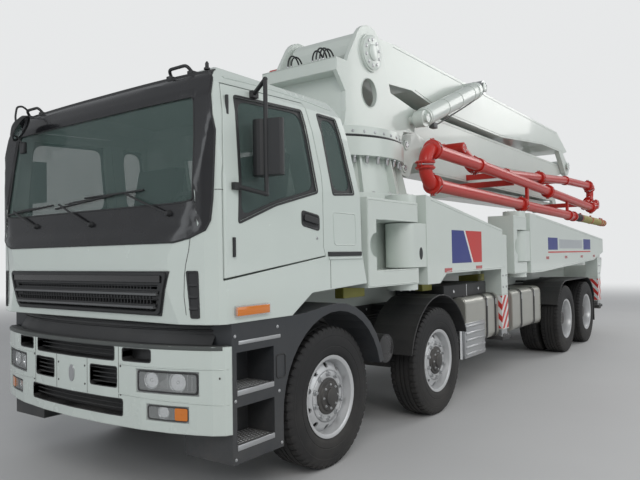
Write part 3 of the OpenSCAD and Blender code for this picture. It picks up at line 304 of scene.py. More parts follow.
def addFinish(name, colour, roughness, *, dust, metallic=0.0, coat=0.0, edge=0.004, worn=None,
              wornAmount=0.0, dustHeight=1.4, fine=300.0, bump=0.05, mottle=0.04, pattern=None):
    material, tree, shader, coords = newMaterial(name)
    grain = useGroup(tree, grainGroup, Vector=coords, Fine=fine, Broad=5.0, Wave=0.6)
    dark = tuple(c * (1 - 2 * mottle) for c in colour)
    light = tuple(min(1, c * (1 + mottle)) for c in colour)
    tint = mixColour(tree, grain["Value"], dark, light)
    if pattern:
        tint = pattern(tree, coords, tint)
    soft = useGroup(tree, edgeGroup, Vector=coords, Radius=edge)
    if worn:
        share = mathNode(tree, "MULTIPLY", soft["Worn"], wornAmount)
        tint = mixColour(tree, share, tint, worn)
    dusty = useGroup(tree, grimeGroup, Vector=coords, Colour=tint, Amount=dust, Height=dustHeight)
    rough = mathNode(tree, "MULTIPLY_ADD", grain["Value"], 0.16, roughness - 0.08)
    rough = mathNode(tree, "ADD", rough, mathNode(tree, "MULTIPLY", dusty["Mask"], 0.5), clamp=True)
    if coat:
        feed(tree, shader, {"Coat Weight": coat, "Coat Roughness": 0.06})
    height = newNode(tree, "Bump", {"Strength": bump, "Distance": 0.002, "Height": grain["Height"],
                                    "Normal": soft["Normal"]})
    feed(tree, shader, {"Base Color": dusty["Colour"], "Roughness": rough, "Metallic": metallic,
                        "Normal": height.outputs["Normal"]})
    finishes[name] = material


def addGlass(name, colour, alpha):
    material, tree, shader, coords = newMaterial(name)
    film = noiseNode(tree, coords, 3.0, 5.0, 0.6)
    rough = mathNode(tree, "MULTIPLY_ADD", film, 0.05, 0.03)
    veil = mathNode(tree, "MULTIPLY_ADD", film, 0.08, alpha - 0.04, clamp=True)
    feed(tree, shader, {"Base Color": colour, "Roughness": rough, "IOR": 1.5, "Alpha": veil})
    finishes[name] = material


stripeLook = {"pitch": 0.150, "slant": 1.1, "colour": (0.56, 0.035, 0.03)}


def slantedStripes(tree, coords, tint):
    # red bands that climb round a post
    axes = splitAxes(tree, coords)
    across = mathNode(tree, "ADD", axes["X"], mathNode(tree, "ABSOLUTE", axes["Y"]))
    climb = mathNode(tree, "MULTIPLY_ADD", across, stripeLook["slant"], axes["Z"])
    share = mathNode(tree, "FRACT", mathNode(tree, "DIVIDE", climb, stripeLook["pitch"]))
    return mixColour(tree, mathNode(tree, "GREATER_THAN", share, 0.5), tint, stripeLook["colour"])


whitePaint = (0.625, 0.69, 0.652)
addFinish("cabWhite", whitePaint, 0.24, coat=0.6, edge=0.010, bump=0.015, fine=60, dust=0.16, dustHeight=1.2,
          mottle=0.012)
addFinish("steelWhite", (0.63, 0.685, 0.645), 0.33, coat=0.35, edge=0.006, bump=0.04, fine=120, dust=0.2,
          dustHeight=1.3, mottle=0.02)
addFinish("frameDark", (0.045, 0.047, 0.05), 0.5, dust=0.5, bump=0.12, worn=(0.2, 0.19, 0.18),
          wornAmount=0.25)
addFinish("castIron", (0.16, 0.165, 0.17), 0.6, metallic=0.5, fine=180, bump=0.3, dust=0.4)
addFinish("tankGrey", (0.47, 0.47, 0.43), 0.34, metallic=0.55, edge=0.008, dust=0.3, bump=0.04)
addFinish("blackPlastic", (0.022, 0.023, 0.025), 0.48, fine=700, bump=0.1, dust=0.12, edge=0.005)
addFinish("glossBlack", (0.012, 0.012, 0.014), 0.26, coat=0.3, bump=0.01, dust=0.05, edge=0.005)
addFinish("slate", (0.030, 0.034, 0.040), 0.42, fine=500, bump=0.08, dust=0.22, edge=0.006)
addFinish("trimGrey", (0.13, 0.135, 0.14), 0.6, fine=600, bump=0.15, dust=0.0)
addFinish("pipeRed", (0.50, 0.018, 0.010), 0.32, coat=0.1, edge=0.004, bump=0.03, dust=0.05)
addFinish("hoseOlive", (0.33, 0.29, 0.10), 0.5, fine=220, bump=0.2, dust=0.05)
addFinish("bareSteel", (0.52, 0.53, 0.54), 0.3, metallic=0.9, fine=250, bump=0.06, dust=0.1)
addFinish("chrome", (0.78, 0.79, 0.8), 0.12, metallic=1.0, bump=0.01, dust=0.02)
addFinish("rimSilver", (0.63, 0.64, 0.65), 0.32, metallic=0.45, edge=0.003, dust=0.14, bump=0.04)
addFinish("hubDark", (0.05, 0.05, 0.052), 0.45, metallic=0.4, dust=0.3)
addFinish("rubber", (0.011, 0.011, 0.012), 0.68, fine=350, bump=0.2, dust=0.12, dustHeight=0.9, mottle=0.1)
addFinish("slateTread", (0.075, 0.084, 0.082), 0.5, fine=420, bump=0.15, dust=0.2, edge=0.006)
addFinish("signBlue", (0.022, 0.035, 0.22), 0.35, edge=0.001, bump=0.01, dust=0.08)
addFinish("signRed", (0.56, 0.035, 0.03), 0.35, edge=0.001, bump=0.01, dust=0.08)
addFinish("signWhite", (0.74, 0.75, 0.74), 0.35, edge=0.001, bump=0.01, dust=0.08)
addFinish("signGrey", (0.42, 0.45, 0.47), 0.35, edge=0.001, bump=0.01, dust=0.08)
addFinish("olivePaint", (0.30, 0.29, 0.06), 0.5, dust=0.3, bump=0.06)
addFinish("stripes", (0.74, 0.75, 0.74), 0.35, edge=0.001, bump=0.01, dust=0.15, pattern=slantedStripes)
addFinish("mirrorFace", (0.55, 0.57, 0.58), 0.08, metallic=1.0, bump=0.0, dust=0.02)
addFinish("amberLens", (0.72, 0.20, 0.015), 0.16, coat=0.6, fine=160, bump=0.25, dust=0.05)
addFinish("redLens", (0.42, 0.015, 0.012), 0.16, coat=0.6, fine=160, bump=0.25, dust=0.1)
addFinish("paleLens", (0.62, 0.63, 0.62), 0.22, coat=0.4, fine=160, bump=0.2, dust=0.1)
addGlass("clearGlass", (0.10, 0.15, 0.14), 0.42)
addGlass("lampLens", (0.75, 0.78, 0.78), 0.3)

slotFinishes = {
    "white_paint": "steelWhite", "frame_dark": "frameDark", "engine": "castIron", "tank_metal": "tankGrey",
    "black_plastic": "blackPlastic", "glass": "clearGlass", "trim": "trimGrey", "lamp": "lampLens",
    "slate": "slate", "red_pipe": "pipeRed", "olive_hose": "hoseOlive", "steel": "bareSteel",
    "tyre": "rubber",
}
ownFinishes = {"cab_shell": "cabWhite", "door_left": "cabWhite", "door_right": "cabWhite",
               "bumper": "cabWhite"}
nodeSlots = {row["node"]: row["material_slot"] for row in frame["record"]["subparts"]}
for name, node in cadNodes.items():
    chosen = finishes[ownFinishes.get(name, slotFinishes[nodeSlots[name]])]
    node.data.materials.clear()
    node.data.materials.append(chosen)
print("finishes are on the construction's own pieces")


# Mesh tools

def makePiece(name, bm, looks, body="chassis", smooth=35):
    bmesh.ops.recalc_face_normals(bm, faces=bm.faces)
    mesh = bpy.data.meshes.new(name)
    bm.to_mesh(mesh)
    bm.free()
    for look in looks:
        mesh.materials.append(finishes[look])
    for face in mesh.polygons:
        face.use_smooth = True
    mesh.set_sharp_from_angle(angle=math.radians(smooth))
    piece = bpy.data.objects.new(name, mesh)
    scene.collection.objects.link(piece)
    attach(piece, body)
    return piece


sides = {"left": 1, "right": -1}


def between(a, b, t):
    return tuple(p + (q - p) * t for p, q in zip(a, b))


def span(start, end, count):
    return [start + (end - start) * i / (count - 1) for i in range(count)]


def addBox(bm, low, high, look=0, soft=0.0):
    low, high = Vector(low), Vector(high)
    turn = Matrix.Translation((low + high) / 2) @ Matrix.Diagonal((*(high - low), 1))
    verts = bmesh.ops.create_cube(bm, size=1.0, matrix=turn)["verts"]
    faces = list({f for v in verts for f in v.link_faces})
    for face in faces:
        face.material_index = look
    if soft:
        edges = list({e for v in verts for e in v.link_edges})
        bmesh.ops.bevel(bm, geom=edges, offset=soft, segments=2, profile=0.5, affect="EDGES", material=-1)
    return verts


def addBlock(bm, centre, half, look=0, soft=0.0):
    addBox(bm, centre - Vector(half), centre + Vector(half), look, soft)


def addSkin(bm, rings, ringClosed=True, rowClosed=False, look=0, capped=False):
    # faces between rings of equally many points
    rows = [[bm.verts.new(p) for p in ring] for ring in rings]
    pairs = list(zip(rows, rows[1:]))
    if rowClosed:
        pairs.append((rows[-1], rows[0]))
    count = len(rows[0])
    for a, b in pairs:
        for i in range(count if ringClosed else count - 1):
            j = (i + 1) % count
            bm.faces.new((a[i], a[j], b[j], b[i])).material_index = look
    if capped:
        for row in (rows[0], rows[-1]):
            bm.faces.new(row).material_index = look
    return rows


def ringAround(centre, axis, radius, sides, start=None):
    axis = axis.normalized()
    first = start or (Vector((0, 0, 1)) if abs(axis.z) < 0.9 else Vector((1, 0, 0)))
    first = (first - axis * first.dot(axis)).normalized()
    second = axis.cross(first)
    angles = [2 * pi * i / sides for i in range(sides)]
    return [centre + (first * cos(a) + second * sin(a)) * radius for a in angles]


def roundCorner(a, b, c, radius, share, steps):
    # a bend at b that starts at most that share of either edge away from it
    into, out = a - b, c - b
    reach = min(radius, into.length * share, out.length * share)
    start, end = b + into.normalized() * reach, b + out.normalized() * reach
    return [start * (1 - t) ** 2 + b * (2 * t * (1 - t)) + end * t ** 2 for t in span(0.0, 1.0, steps)]


def roundedRoute(points, radius):
    # straight runs joined by bends
    points = [Vector(p) for p in points]
    bends = [roundCorner(a, b, c, radius, 0.45, 5) for a, b, c in zip(points, points[1:], points[2:])]
    return [points[0], *(p for bend in bends for p in bend), points[-1]]


def addTube(bm, points, radius, sides, look=0, closed=False):
    # a tube along a route, its sections turned with the route
    points = [Vector(p) for p in points]
    rings, lead = [], None
    for i, here in enumerate(points):
        before = points[i - 1] if (i or closed) else here
        after = points[(i + 1) % len(points)] if (i + 1 < len(points) or closed) else here
        axis = (after - before).normalized()
        if lead is not None:
            lead = lead - axis * lead.dot(axis)
        ring = ringAround(here, axis, radius, sides, lead)
        lead = ring[0] - here
        rings.append(ring)
    addSkin(bm, rings, True, closed, look, capped=not closed)


def addLathe(bm, centre, axis, profile, steps, look=0, closed=False):
    # profile rows (along the axis, radius); ends that touch the axis close themselves
    centre, axis = Vector(centre), Vector(axis).normalized()
    rings = [ringAround(centre + axis * a, axis, max(r, 0.0002), steps) for a, r in profile]
    addSkin(bm, rings, True, closed, look, capped=not closed)


def addPrism(bm, outline, low, high, look=0, soft=0.0, axis="y"):
    # an outline [(x, z)] along Y, [(y, z)] along X or [(x, y)] along Z
    spots = {"y": lambda p, d: (p[0], d, p[1]), "x": lambda p, d: (d, p[0], p[1]), "z": lambda p, d: (*p, d)}
    rings = [[Vector(spots[axis](p, d)) for p in outline] for d in (low, high)]
    rows = addSkin(bm, rings, True, False, look, capped=True)
    if soft:
        verts = [v for row in rows for v in row]
        edges = list({e for v in verts for e in v.link_edges})
        bmesh.ops.bevel(bm, geom=edges, offset=soft, segments=2, profile=0.5, affect="EDGES", material=-1)


def roundedOutline(corners, radius, steps=4):
    # a polygon with round corners, equally many points at each
    outline = []
    count = len(corners)
    for i in range(count):
        a, b, c = (Vector(corners[(i + k) % count]) for k in (-1, 0, 1))
        bend = radius[i] if isinstance(radius, (list, tuple)) else radius
        outline += [tuple(p) for p in roundCorner(a, b, c, bend, 0.5, steps + 1)]
    return outline


def oval(a, b, halfA, halfB, count):
    return [(a + halfA * cos(t), b + halfB * sin(t)) for t in span(0, 2 * pi, count + 1)[:-1]]


def dense(outline, step):
    # more points along the long edges, so that a sheet bends with the skin below it
    rows = []
    for a, b in zip(outline, outline[1:] + outline[:1]):
        parts = max(1, round(math.dist(a, b) / step))
        rows += [between(a, b, i / parts) for i in range(parts)]
    return rows


def shrunk(outline, middle, across, up):
    # an outline drawn in towards a middle
    return [(middle[0] + (a - middle[0]) * across, middle[1] + (b - middle[1]) * up) for a, b in outline]


def alongLine(line, parts):
    # each stretch of a broken line in equal steps, without the last point
    return [between(a, b, t) for a, b in zip(line, line[1:]) for t in span(0.0, 1.0, parts)[:-1]]


washerShare = 1.35      # a washer's radius over its bolt head's


def boltAngles(count, start=0.5):
    # equal steps round a circle; start is the first bolt's place in steps
    return [2 * pi * (i + start) / count for i in range(count)]


def addBolt(bm, centre, axis, radius, height, look):
    # a six-sided head on a round washer
    centre, axis = Vector(centre), Vector(axis).normalized()
    washer = radius * washerShare
    addLathe(bm, centre, axis, [(-0.002, washer), (height * 0.25, washer)], 16, look)
    addLathe(bm, centre, axis, [(0, radius), (height * 0.85, radius), (height, radius * 0.8)], 6, look)


skinTrees = {}
outside = 3      # metres from the first axle and from the middle, clear of the cab


def onSkin(nodes, start, heading):
    # where a line from outside first meets the construction's skin
    hits = []
    for name in nodes:
        if name not in skinTrees:
            skinTrees[name] = BVHTree.FromObject(cadNodes[name], bpy.context.evaluated_depsgraph_get())
        spot, _, _, reach = skinTrees[name].ray_cast(Vector(start), Vector(heading))
        if spot is not None:
            hits.append((reach, spot))
    return min(hits, key=lambda hit: hit[0])[1] if hits else None


def frontX(y, z, nodes):
    return onSkin(nodes, (firstAxleX + outside, y, z), (-1, 0, 0)).x


def sideY(x, z, side, nodes):
    return onSkin(nodes, (x, side * outside, z), (0, -side, 0)).y * side


def sideSpot(side, nodes):
    # a place on a side wall, given by x from the first axle and height
    def spot(x, z, away=0.0):
        here = at(x, 0, z)
        return Vector((here.x, side * (sideY(here.x, z, side, nodes) + away), z))
    return spot


def sideBox(bm, side, x, y, z, look=0, soft=0.0):
    # a box on one side: spans of x from the first axle, distance from the middle, and height
    a, b = sorted((side * y[0], side * y[1]))
    low, high = sorted(x)
    addBox(bm, (at(low, 0, 0).x, a, z[0]), (at(high, 0, 0).x, b, z[1]), look, soft)


def addFrontBand(bm, outer, inner, lift, rings, nodes, back=0.012, probes=(0.0,)):
    # a band that lies on the cab's front between two outlines [(y, z)] with equally many points;
    # probes are the heights about a point whose foremost skin carries it
    def spot(p, away):
        return Vector((max(frontX(p[0], p[1] + d, nodes) for d in probes) + away, p[0], p[1]))
    rows = [[spot(p, -back) for p in outer]]
    for t in span(0.0, 1.0, rings):
        rows.append([spot(between(a, b, t), lift) for a, b in zip(outer, inner)])
    rows.append([spot(p, -back) for p in inner])
    return addSkin(bm, rows, True, True)


# Wheels: each stands for the construction's plain wheel and turns with it

tyre = {
    "radius": 0.525, "halfWidth": 0.145, "pitches": 54, "grooveDepth": 0.010,
    # where a pitch's land and groove start and end
    "pitch": [(0.0, 0.0), (0.60, 0.0), (0.66, 1.0), (0.94, 1.0)],
    # half section from the bead to the middle: place across, distance from the axle
    "section": [
        (0.112, 0.289), (0.120, 0.304), (0.136, 0.322), (0.1425, 0.345), (0.1445, 0.372), (0.1415, 0.376),
        (0.1445, 0.380), (0.145, 0.408), (0.1435, 0.436), (0.1395, 0.452), (0.1410, 0.456), (0.1365, 0.470),
        (0.1330, 0.490), (0.1280, 0.508), (0.1180, 0.519), (0.1040, 0.5225), (0.0760, 0.5240),
        (0.0735, 0.512), (0.0645, 0.512), (0.0620, 0.5245), (0.0270, 0.5250), (0.0245, 0.513),
        (0.0155, 0.513), (0.0130, 0.5250),
    ],
}
rim = {"radius": 0.287, "holes": 10, "nuts": 10, "nutCircle": 0.1675, "nut": (0.0155, 0.024), "twin": 0.165,
       "discInner": 0.196, "discOuter": 0.266, "discDepth": 0.016}
wheelLooks = ["rubber", "rimSilver", "hubDark", "castIron", "bareSteel"]
# Profiles are (outward from the tyre's middle plane, radius), heights (radius, outward).
# Hub bolts: how many, circle, height, size and head. A front disc bulges outward to its nuts. An outer
# rear disc lies deep in its rim and the hub stands far out of it.
discs = {
    "front": {
        "heights": [(0.120, 0.096), (0.196, 0.096), (0.215, 0.090), (0.240, 0.074), (0.266, 0.045)],
        "holeAt": 0.231, "hole": 0.022, "nutsAt": 0.096, "hubBolts": (8, 0.088, 0.124, 0.007, 0.009),
        "web": [(0.096, 0.196), (0.0965, 0.150), (0.094, 0.148), (0.094, 0.060)],
        "well": [(0.02, 0.262), (0.028, 0.200), (0.03, 0.05)],
        "hub": [(0.090, 0.137), (0.104, 0.135), (0.108, 0.129), (0.109, 0.112), (0.113, 0.108),
                (0.121, 0.106), (0.124, 0.100), (0.125, 0.070), (0.128, 0.066), (0.139, 0.064),
                (0.142, 0.059), (0.1425, 0.0)],
        "drum": [(-0.12, 0.06), (-0.12, 0.205), (0.0, 0.21), (0.0, 0.06)], "stemFoot": 0.118,
        "offsets": [0.0]},
    "rear": {
        "heights": [(0.120, 0.016), (0.180, 0.016), (0.205, 0.020), (0.240, 0.040), (0.268, 0.074)],
        "holeAt": 0.229, "hole": 0.023, "nutsAt": 0.017, "hubBolts": (10, 0.104, 0.200, 0.007, 0.012),
        "web": [(0.018, 0.196), (0.016, 0.180), (0.016, 0.060)],
        "well": [(-0.06, 0.262), (-0.05, 0.10)],
        "hub": [(0.010, 0.132), (0.030, 0.132), (0.036, 0.126), (0.150, 0.116), (0.158, 0.120),
                (0.172, 0.120), (0.178, 0.114), (0.206, 0.104), (0.222, 0.098), (0.232, 0.088),
                (0.235, 0.070), (0.235, 0.0)],
        "drum": [(-0.29, 0.08), (-0.29, 0.20), (-0.10, 0.21), (-0.10, 0.08)], "stemFoot": 0.09,
        "offsets": [rim["twin"], -rim["twin"]]},
}


def wheelPoint(hub, side, angle, radius, out):
    return Vector((hub.x + radius * cos(angle), hub.y + side * out, hub.z + radius * sin(angle)))


def addTyre(bm, hub, side, offset):
    section = tyre["section"] + [(-a, r) for a, r in reversed(tyre["section"])]
    rings = []
    for pitch in range(tyre["pitches"]):
        for share, cut in tyre["pitch"]:
            angle = 2 * pi * (pitch + share) / tyre["pitches"]
            ring = []
            for across, radius in section:
                shoulder = abs(across) > 0.075 and radius > 0.500
                lower = tyre["grooveDepth"] * cut if shoulder else 0.0
                ring.append(wheelPoint(hub, side, angle, radius - lower, offset + across))
            rings.append(ring)
    addSkin(bm, rings, ringClosed=False, rowClosed=True)


def addRimRing(bm, hub, side, offset):
    # flange, bead seat and well, as one closed section
    r = rim["radius"]
    section = [
        (0.131, r + 0.012), (0.1315, r + 0.019), (0.128, r + 0.020), (0.122, r + 0.010), (0.118, r),
        (0.095, r - 0.004), (0.07, r - 0.012), (-0.07, r - 0.012), (-0.118, r), (-0.122, r + 0.010),
        (-0.131, r + 0.020), (-0.131, r + 0.008), (-0.122, r - 0.008), (-0.08, r - 0.022),
        (0.075, r - 0.022), (0.100, r - 0.014), (0.121, r - 0.009), (0.127, r + 0.002),
    ]
    addLathe(bm, hub + Vector((0, side * offset, 0)), (0, side, 0), section, 48, look=1, closed=True)


def addHoledDisc(bm, hub, side, disc):
    # an annulus of equal cells, each with a round hole that has a wall
    height = heightBetween(disc["heights"])
    cell = 2 * pi / rim["holes"]
    edge = [(-1, -1), (-0.5, -1), (0, -1), (0.5, -1), (1, -1), (1, -0.5), (1, 0), (1, 0.5),
            (1, 1), (0.5, 1), (0, 1), (-0.5, 1), (-1, 1), (-1, 0.5), (-1, 0), (-1, -0.5)]
    for i in range(rim["holes"]):
        middle = cell * (i + 0.5)
        frameRing, holeRing, backRing = [], [], []
        for u, v in edge:
            radius = rim["discInner"] + (rim["discOuter"] - rim["discInner"]) * (v + 1) / 2
            frameRing.append(wheelPoint(hub, side, middle + u * cell / 2, radius, height(radius)))
            turn = math.atan2(v, u)
            radius = disc["holeAt"] + disc["hole"] * sin(turn)
            angle = middle + disc["hole"] * cos(turn) / disc["holeAt"]
            holeRing.append(wheelPoint(hub, side, angle, radius, height(radius)))
            backRing.append(wheelPoint(hub, side, angle, radius, height(radius) - rim["discDepth"]))
        addSkin(bm, [frameRing, holeRing, backRing], look=1)


def heightBetween(rows):
    # height by radius, from rows (radius, height)
    def height(radius):
        for (r0, h0), (r1, h1) in zip(rows, rows[1:]):
            if radius <= r1:
                return h0 + (h1 - h0) * (radius - r0) / (r1 - r0)
        return rows[-1][1]
    return height


def addDisc(bm, hub, side, disc):
    axis = (0, side, 0)
    addHoledDisc(bm, hub, side, disc)
    addLathe(bm, hub, axis, disc["web"], 50, look=1)
    addLathe(bm, hub, axis, disc["well"], 40, look=2)
    for angle in boltAngles(rim["nuts"]):
        addBolt(bm, wheelPoint(hub, side, angle, rim["nutCircle"], disc["nutsAt"]), axis, *rim["nut"], 4)
    addLathe(bm, hub, axis, disc["hub"], 40, look=2)
    count, circle, height, size, head = disc["hubBolts"]
    for angle in boltAngles(count, 0):
        addBolt(bm, wheelPoint(hub, side, angle, circle, height), axis, size, head, 4)


def makeWheel(name):
    side = 1 if "left" in name else -1
    low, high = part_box(name)
    front = name.endswith(("1", "2"))
    outer = max(abs(low[1]), abs(high[1]))
    disc = discs["front" if front else "rear"]
    middle = outer - tyre["halfWidth"] - disc["offsets"][0]
    hub = Vector(((low[0] + high[0]) / 2, side * middle, tyre["radius"]))
    bm = bmesh.new()
    for offset in disc["offsets"]:
        addTyre(bm, hub, side, offset)
        addRimRing(bm, hub, side, offset)
    addDisc(bm, hub, side, disc)
    addLathe(bm, hub, (0, side, 0), disc["drum"], 40, look=3)
    stem = [wheelPoint(hub, side, 0.9, 0.262, 0.10), wheelPoint(hub, side, 0.9, 0.235, disc["stemFoot"])]
    addTube(bm, stem, 0.004, 8, look=4)
    bmesh.ops.remove_doubles(bm, verts=bm.verts, dist=0.00002)
    piece = makePiece("tyreAndRim_" + name.split("_", 1)[1], bm, wheelLooks, name, smooth=32)
    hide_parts(name)


for wheelName in [n for n in cadNodes if n.startswith("wheel_")]:
    makeWheel(wheelName)
print("wheels are on their hubs")


# Cab front: screen surround, wipers, grille, vents and seams

screen = {
    # outer edge of the dark surround, right of the middle and up: across, height
    "outer": [(0.0, 1.677), (0.95, 1.677), (1.055, 1.700), (1.158, 1.745), (1.184, 1.802), (1.197, 1.933),
              (1.214, 2.342), (1.152, 2.672), (1.115, 2.716), (0.60, 2.752), (0.0, 2.764)],
    # edge of the clear glass
    "inner": [(0.0, 1.915), (0.90, 1.915), (1.00, 1.918), (1.062, 1.926), (1.076, 1.940), (1.073, 1.985),
              (1.051, 2.320), (1.024, 2.545), (1.000, 2.576), (0.55, 2.583), (0.0, 2.583)],
}


def mirroredOutline(half):
    return half + [(-y, z) for y, z in reversed(half[1:-1])]


def pairedHalves(parts):
    # each stretch of both edges is cut into the same number of steps
    outer, inner = [], []
    for (a, b), (c, d) in zip(zip(screen["outer"], screen["outer"][1:]),
                              zip(screen["inner"], screen["inner"][1:])):
        count = parts if math.dist(a, b) < 0.3 else parts * 4
        for i in range(count):
            outer.append(between(a, b, i / count))
            inner.append(between(c, d, i / count))
    return outer + [screen["outer"][-1]], inner + [screen["inner"][-1]]


cabFrontNodes = ("cab_shell", "cab_glass", "grille", "door_left", "door_right")


def frontSpot(y, z, away=0.0):
    return Vector((frontX(y, z, cabFrontNodes) + away, y, z))


def makeScreenSurround():
    outer, inner = pairedHalves(3)
    bm = bmesh.new()
    addFrontBand(bm, mirroredOutline(outer), mirroredOutline(inner), 0.007, 9, cabFrontNodes,
                 probes=(-0.018, 0.0))
    makePiece("screenSurround", bm, ["glossBlack"], smooth=25)
    # rubber seal between the surround and the paint
    bm = bmesh.new()
    addTube(bm, [frontSpot(y, z, 0.003) for y, z in mirroredOutline(outer)], 0.007, 6, closed=True)
    addTube(bm, [frontSpot(y, z, 0.008) for y, z in mirroredOutline(inner)], 0.006, 6, closed=True)
    makePiece("screenSeal", bm, ["blackPlastic"])


visor = {
    "half": 1.10, "top": 2.775, "droop": 0.040, "below": 0.030,
    # section of the lip: forward, up
    "lip": [(0.002, -0.036), (0.016, -0.034), (0.020, -0.024), (0.010, -0.002), (-0.050, 0.020),
            (-0.056, 0.012), (-0.020, -0.01)],
    "brackets": (-0.93, 0.80),
    # a bracket's bow: forward, across, up
    "bow": [(-0.02, -0.10, 0.005), (0.02, -0.085, 0.050), (0.02, 0.085, 0.050), (-0.02, 0.10, 0.005)],
}


def roofEdgeAt(y):
    z = visor["top"] - visor["droop"] * (abs(y) / visor["half"]) ** 3
    return frontX(y, z - visor["below"], cabFrontNodes), z


def makeVisor():
    # the narrow dark roof edge over the screen, with its two brackets and the marker
    rows = []
    for y in span(-visor["half"], visor["half"], 41):
        x, z = roofEdgeAt(y)
        rows.append([Vector((x + a, y, z + b)) for a, b in visor["lip"]])
    bm = bmesh.new()
    addSkin(bm, rows, capped=True)
    for y in visor["brackets"]:
        x, z = roofEdgeAt(y)
        bow = [Vector((x + a, y + b, z + c)) for a, b, c in visor["bow"]]
        addTube(bm, roundedRoute(bow, 0.03), 0.011, 10)
        for end in (-0.10, 0.10):
            low, high = (x - 0.05, y + end - 0.022, z - 0.012), (x + 0.012, y + end + 0.022, z + 0.016)
            addBox(bm, low, high, soft=0.005)
    makePiece("roofEdge", bm, ["blackPlastic"])
    bm = bmesh.new()
    addLathe(bm, (frontX(1.02, 2.72, cabFrontNodes) - 0.04, 1.02, 2.765), (0, 0, 1),
             [(0, 0.020), (0.012, 0.020), (0.016, 0.012), (0.040, 0.012), (0.052, 0.006), (0.055, 0.0)], 20)
    makePiece("aerialFoot", bm, ["blackPlastic"])


def makeWipers():
    # arm pivots under the screen, blades that rest almost level on it
    wipers = [((-0.62, 1.835), (-0.96, 1.968), (-1.05, 1.945), (-0.42, 1.985)),
              ((0.08, 1.820), (-0.33, 1.985), (-0.38, 1.955), (0.30, 2.010)),
              ((0.88, 1.855), (0.44, 2.010), (-0.02, 2.010), (0.62, 2.020))]
    bm = bmesh.new()
    for pivot, tip, bladeFrom, bladeTo in wipers:
        foot = frontSpot(*pivot, 0.012)
        end = frontSpot(*tip, 0.022)
        addLathe(bm, foot - Vector((0.012, 0, 0)), (1, 0, 0),
                 [(0, 0.022), (0.012, 0.022), (0.022, 0.017), (0.036, 0.014), (0.040, 0.0)], 20)
        addTube(bm, [foot + Vector((0.012, 0, 0)), foot.lerp(end, 0.3) + Vector((0.016, 0, 0)),
                     foot.lerp(end, 0.7) + Vector((0.012, 0, 0)), end], 0.0075, 8)
        blade = [frontSpot(*between(bladeFrom, bladeTo, t), 0.016) for t in span(0.0, 1.0, 14)]
        addTube(bm, blade, 0.0065, 8)
        addTube(bm, [p - Vector((0.008, 0, 0.003)) for p in blade], 0.0035, 6)
        for share in (2, 5, 8, 11):
            addTube(bm, [blade[share] + Vector((0.004, 0, 0)), end.lerp(blade[share], 0.35)], 0.004, 6)
    makePiece("wipers", bm, ["blackPlastic"])


# solid is a height between two of the grille's air slots
grilleLook = {
    "half": 0.905, "low": 1.232, "high": 1.494, "lean": 0.082, "solid": 1.3795,
    # bars across: low edge, high edge, how far they stand out, look, depth
    # the first bar is a plain black sheet 8 cm behind the air slots: painted shade for the dark space behind
    # the grille
    "bars": [(1.238, 1.488, -0.080, 0, 0.006), (1.430, 1.478, 0.014, 1, 0.02),
             (1.350, 1.366, 0.024, 2, 0.03), (1.364, 1.378, 0.011, 0, 0.02), (1.270, 1.286, 0.024, 2, 0.03),
             (1.284, 1.298, 0.011, 0, 0.02), (1.321, 1.329, 0.002, 0, 0.03), (1.404, 1.412, 0.002, 0, 0.03)],
    "uprights": 26, "pitch": 0.0325, "uprightLow": 1.262, "uprightHigh": 1.435,
}
grilleNodes = ("cab_shell", "grille")


def grilleHalfAt(z):
    share = (z - grilleLook["low"]) / (grilleLook["high"] - grilleLook["low"])
    return grilleLook["half"] - grilleLook["lean"] * (1 - share)


def makeGrille():
    low, high = grilleLook["low"], grilleLook["high"]
    corners = [(-grilleHalfAt(low), low), (grilleHalfAt(low), low), (grilleLook["half"], high),
               (-grilleLook["half"], high)]
    outer = dense(roundedOutline(corners, 0.035), 0.12)
    inner = [(y * 0.976, z + (0.5 * (low + high) - z) * 0.14) for y, z in outer]
    bm = bmesh.new()
    addFrontBand(bm, outer, inner, 0.012, 3, grilleNodes)
    # the first row is the black sheet of painted shade behind the slots
    for zLow, zHigh, lift, look, depth in grilleLook["bars"]:
        rows = []
        for y in span(-grilleHalfAt(zLow) + 0.035, grilleHalfAt(zLow) - 0.035, 33):
            x = frontX(y, grilleLook["solid"], grilleNodes)
            rows.append([Vector((x + a, y, z)) for a, z in (
                (lift - 0.003, zLow), (lift, zLow + 0.003), (lift, zHigh - 0.003), (lift - 0.003, zHigh),
                (lift - depth, zHigh), (lift - depth, zLow))])
        addSkin(bm, rows, True, False, look, capped=True)
    for i in range(-grilleLook["uprights"], grilleLook["uprights"] + 1):
        y = i * grilleLook["pitch"]
        if abs(y) < grilleHalfAt(1.26) - 0.06:
            x = frontX(y, grilleLook["solid"], grilleNodes)
            addBox(bm, (x - 0.03, y - 0.0035, grilleLook["uprightLow"]),
                   (x + 0.001, y + 0.0035, grilleLook["uprightHigh"]))
    makePiece("grilleBars", bm, ["blackPlastic", "glossBlack", "castIron"])


def makeCornerVents():
    # upright black vents beside the front panel, each with three slats
    bm = bmesh.new()
    for side in (1, -1):
        corners = [(side * y, z) for y, z in
                   ((1.062, 1.218), (1.120, 1.218), (1.112, 1.502), (1.034, 1.502))]
        outer = dense(roundedOutline(corners, 0.012), 0.05)
        middle = (side * 1.082, 1.36)
        inner = shrunk(outer, middle, 0.72, 0.92)
        addFrontBand(bm, outer, inner, 0.006, 2, cabFrontNodes)
        well = shrunk(outer, middle, 0.02, 0.02)
        addFrontBand(bm, inner, well, 0.0015, 3, cabFrontNodes, back=0.004)
        for z in (1.275, 1.345, 1.415):
            slat = ((0.002, -0.010), (0.009, -0.004), (0.009, 0.002), (0.002, 0.014))
            rows = [[frontSpot(side * y, z) + Vector((a, 0, b)) for a, b in slat]
                    for y in span(1.056, 1.108, 4)]
            addSkin(bm, rows, capped=True)
    makePiece("cornerVents", bm, ["blackPlastic"])


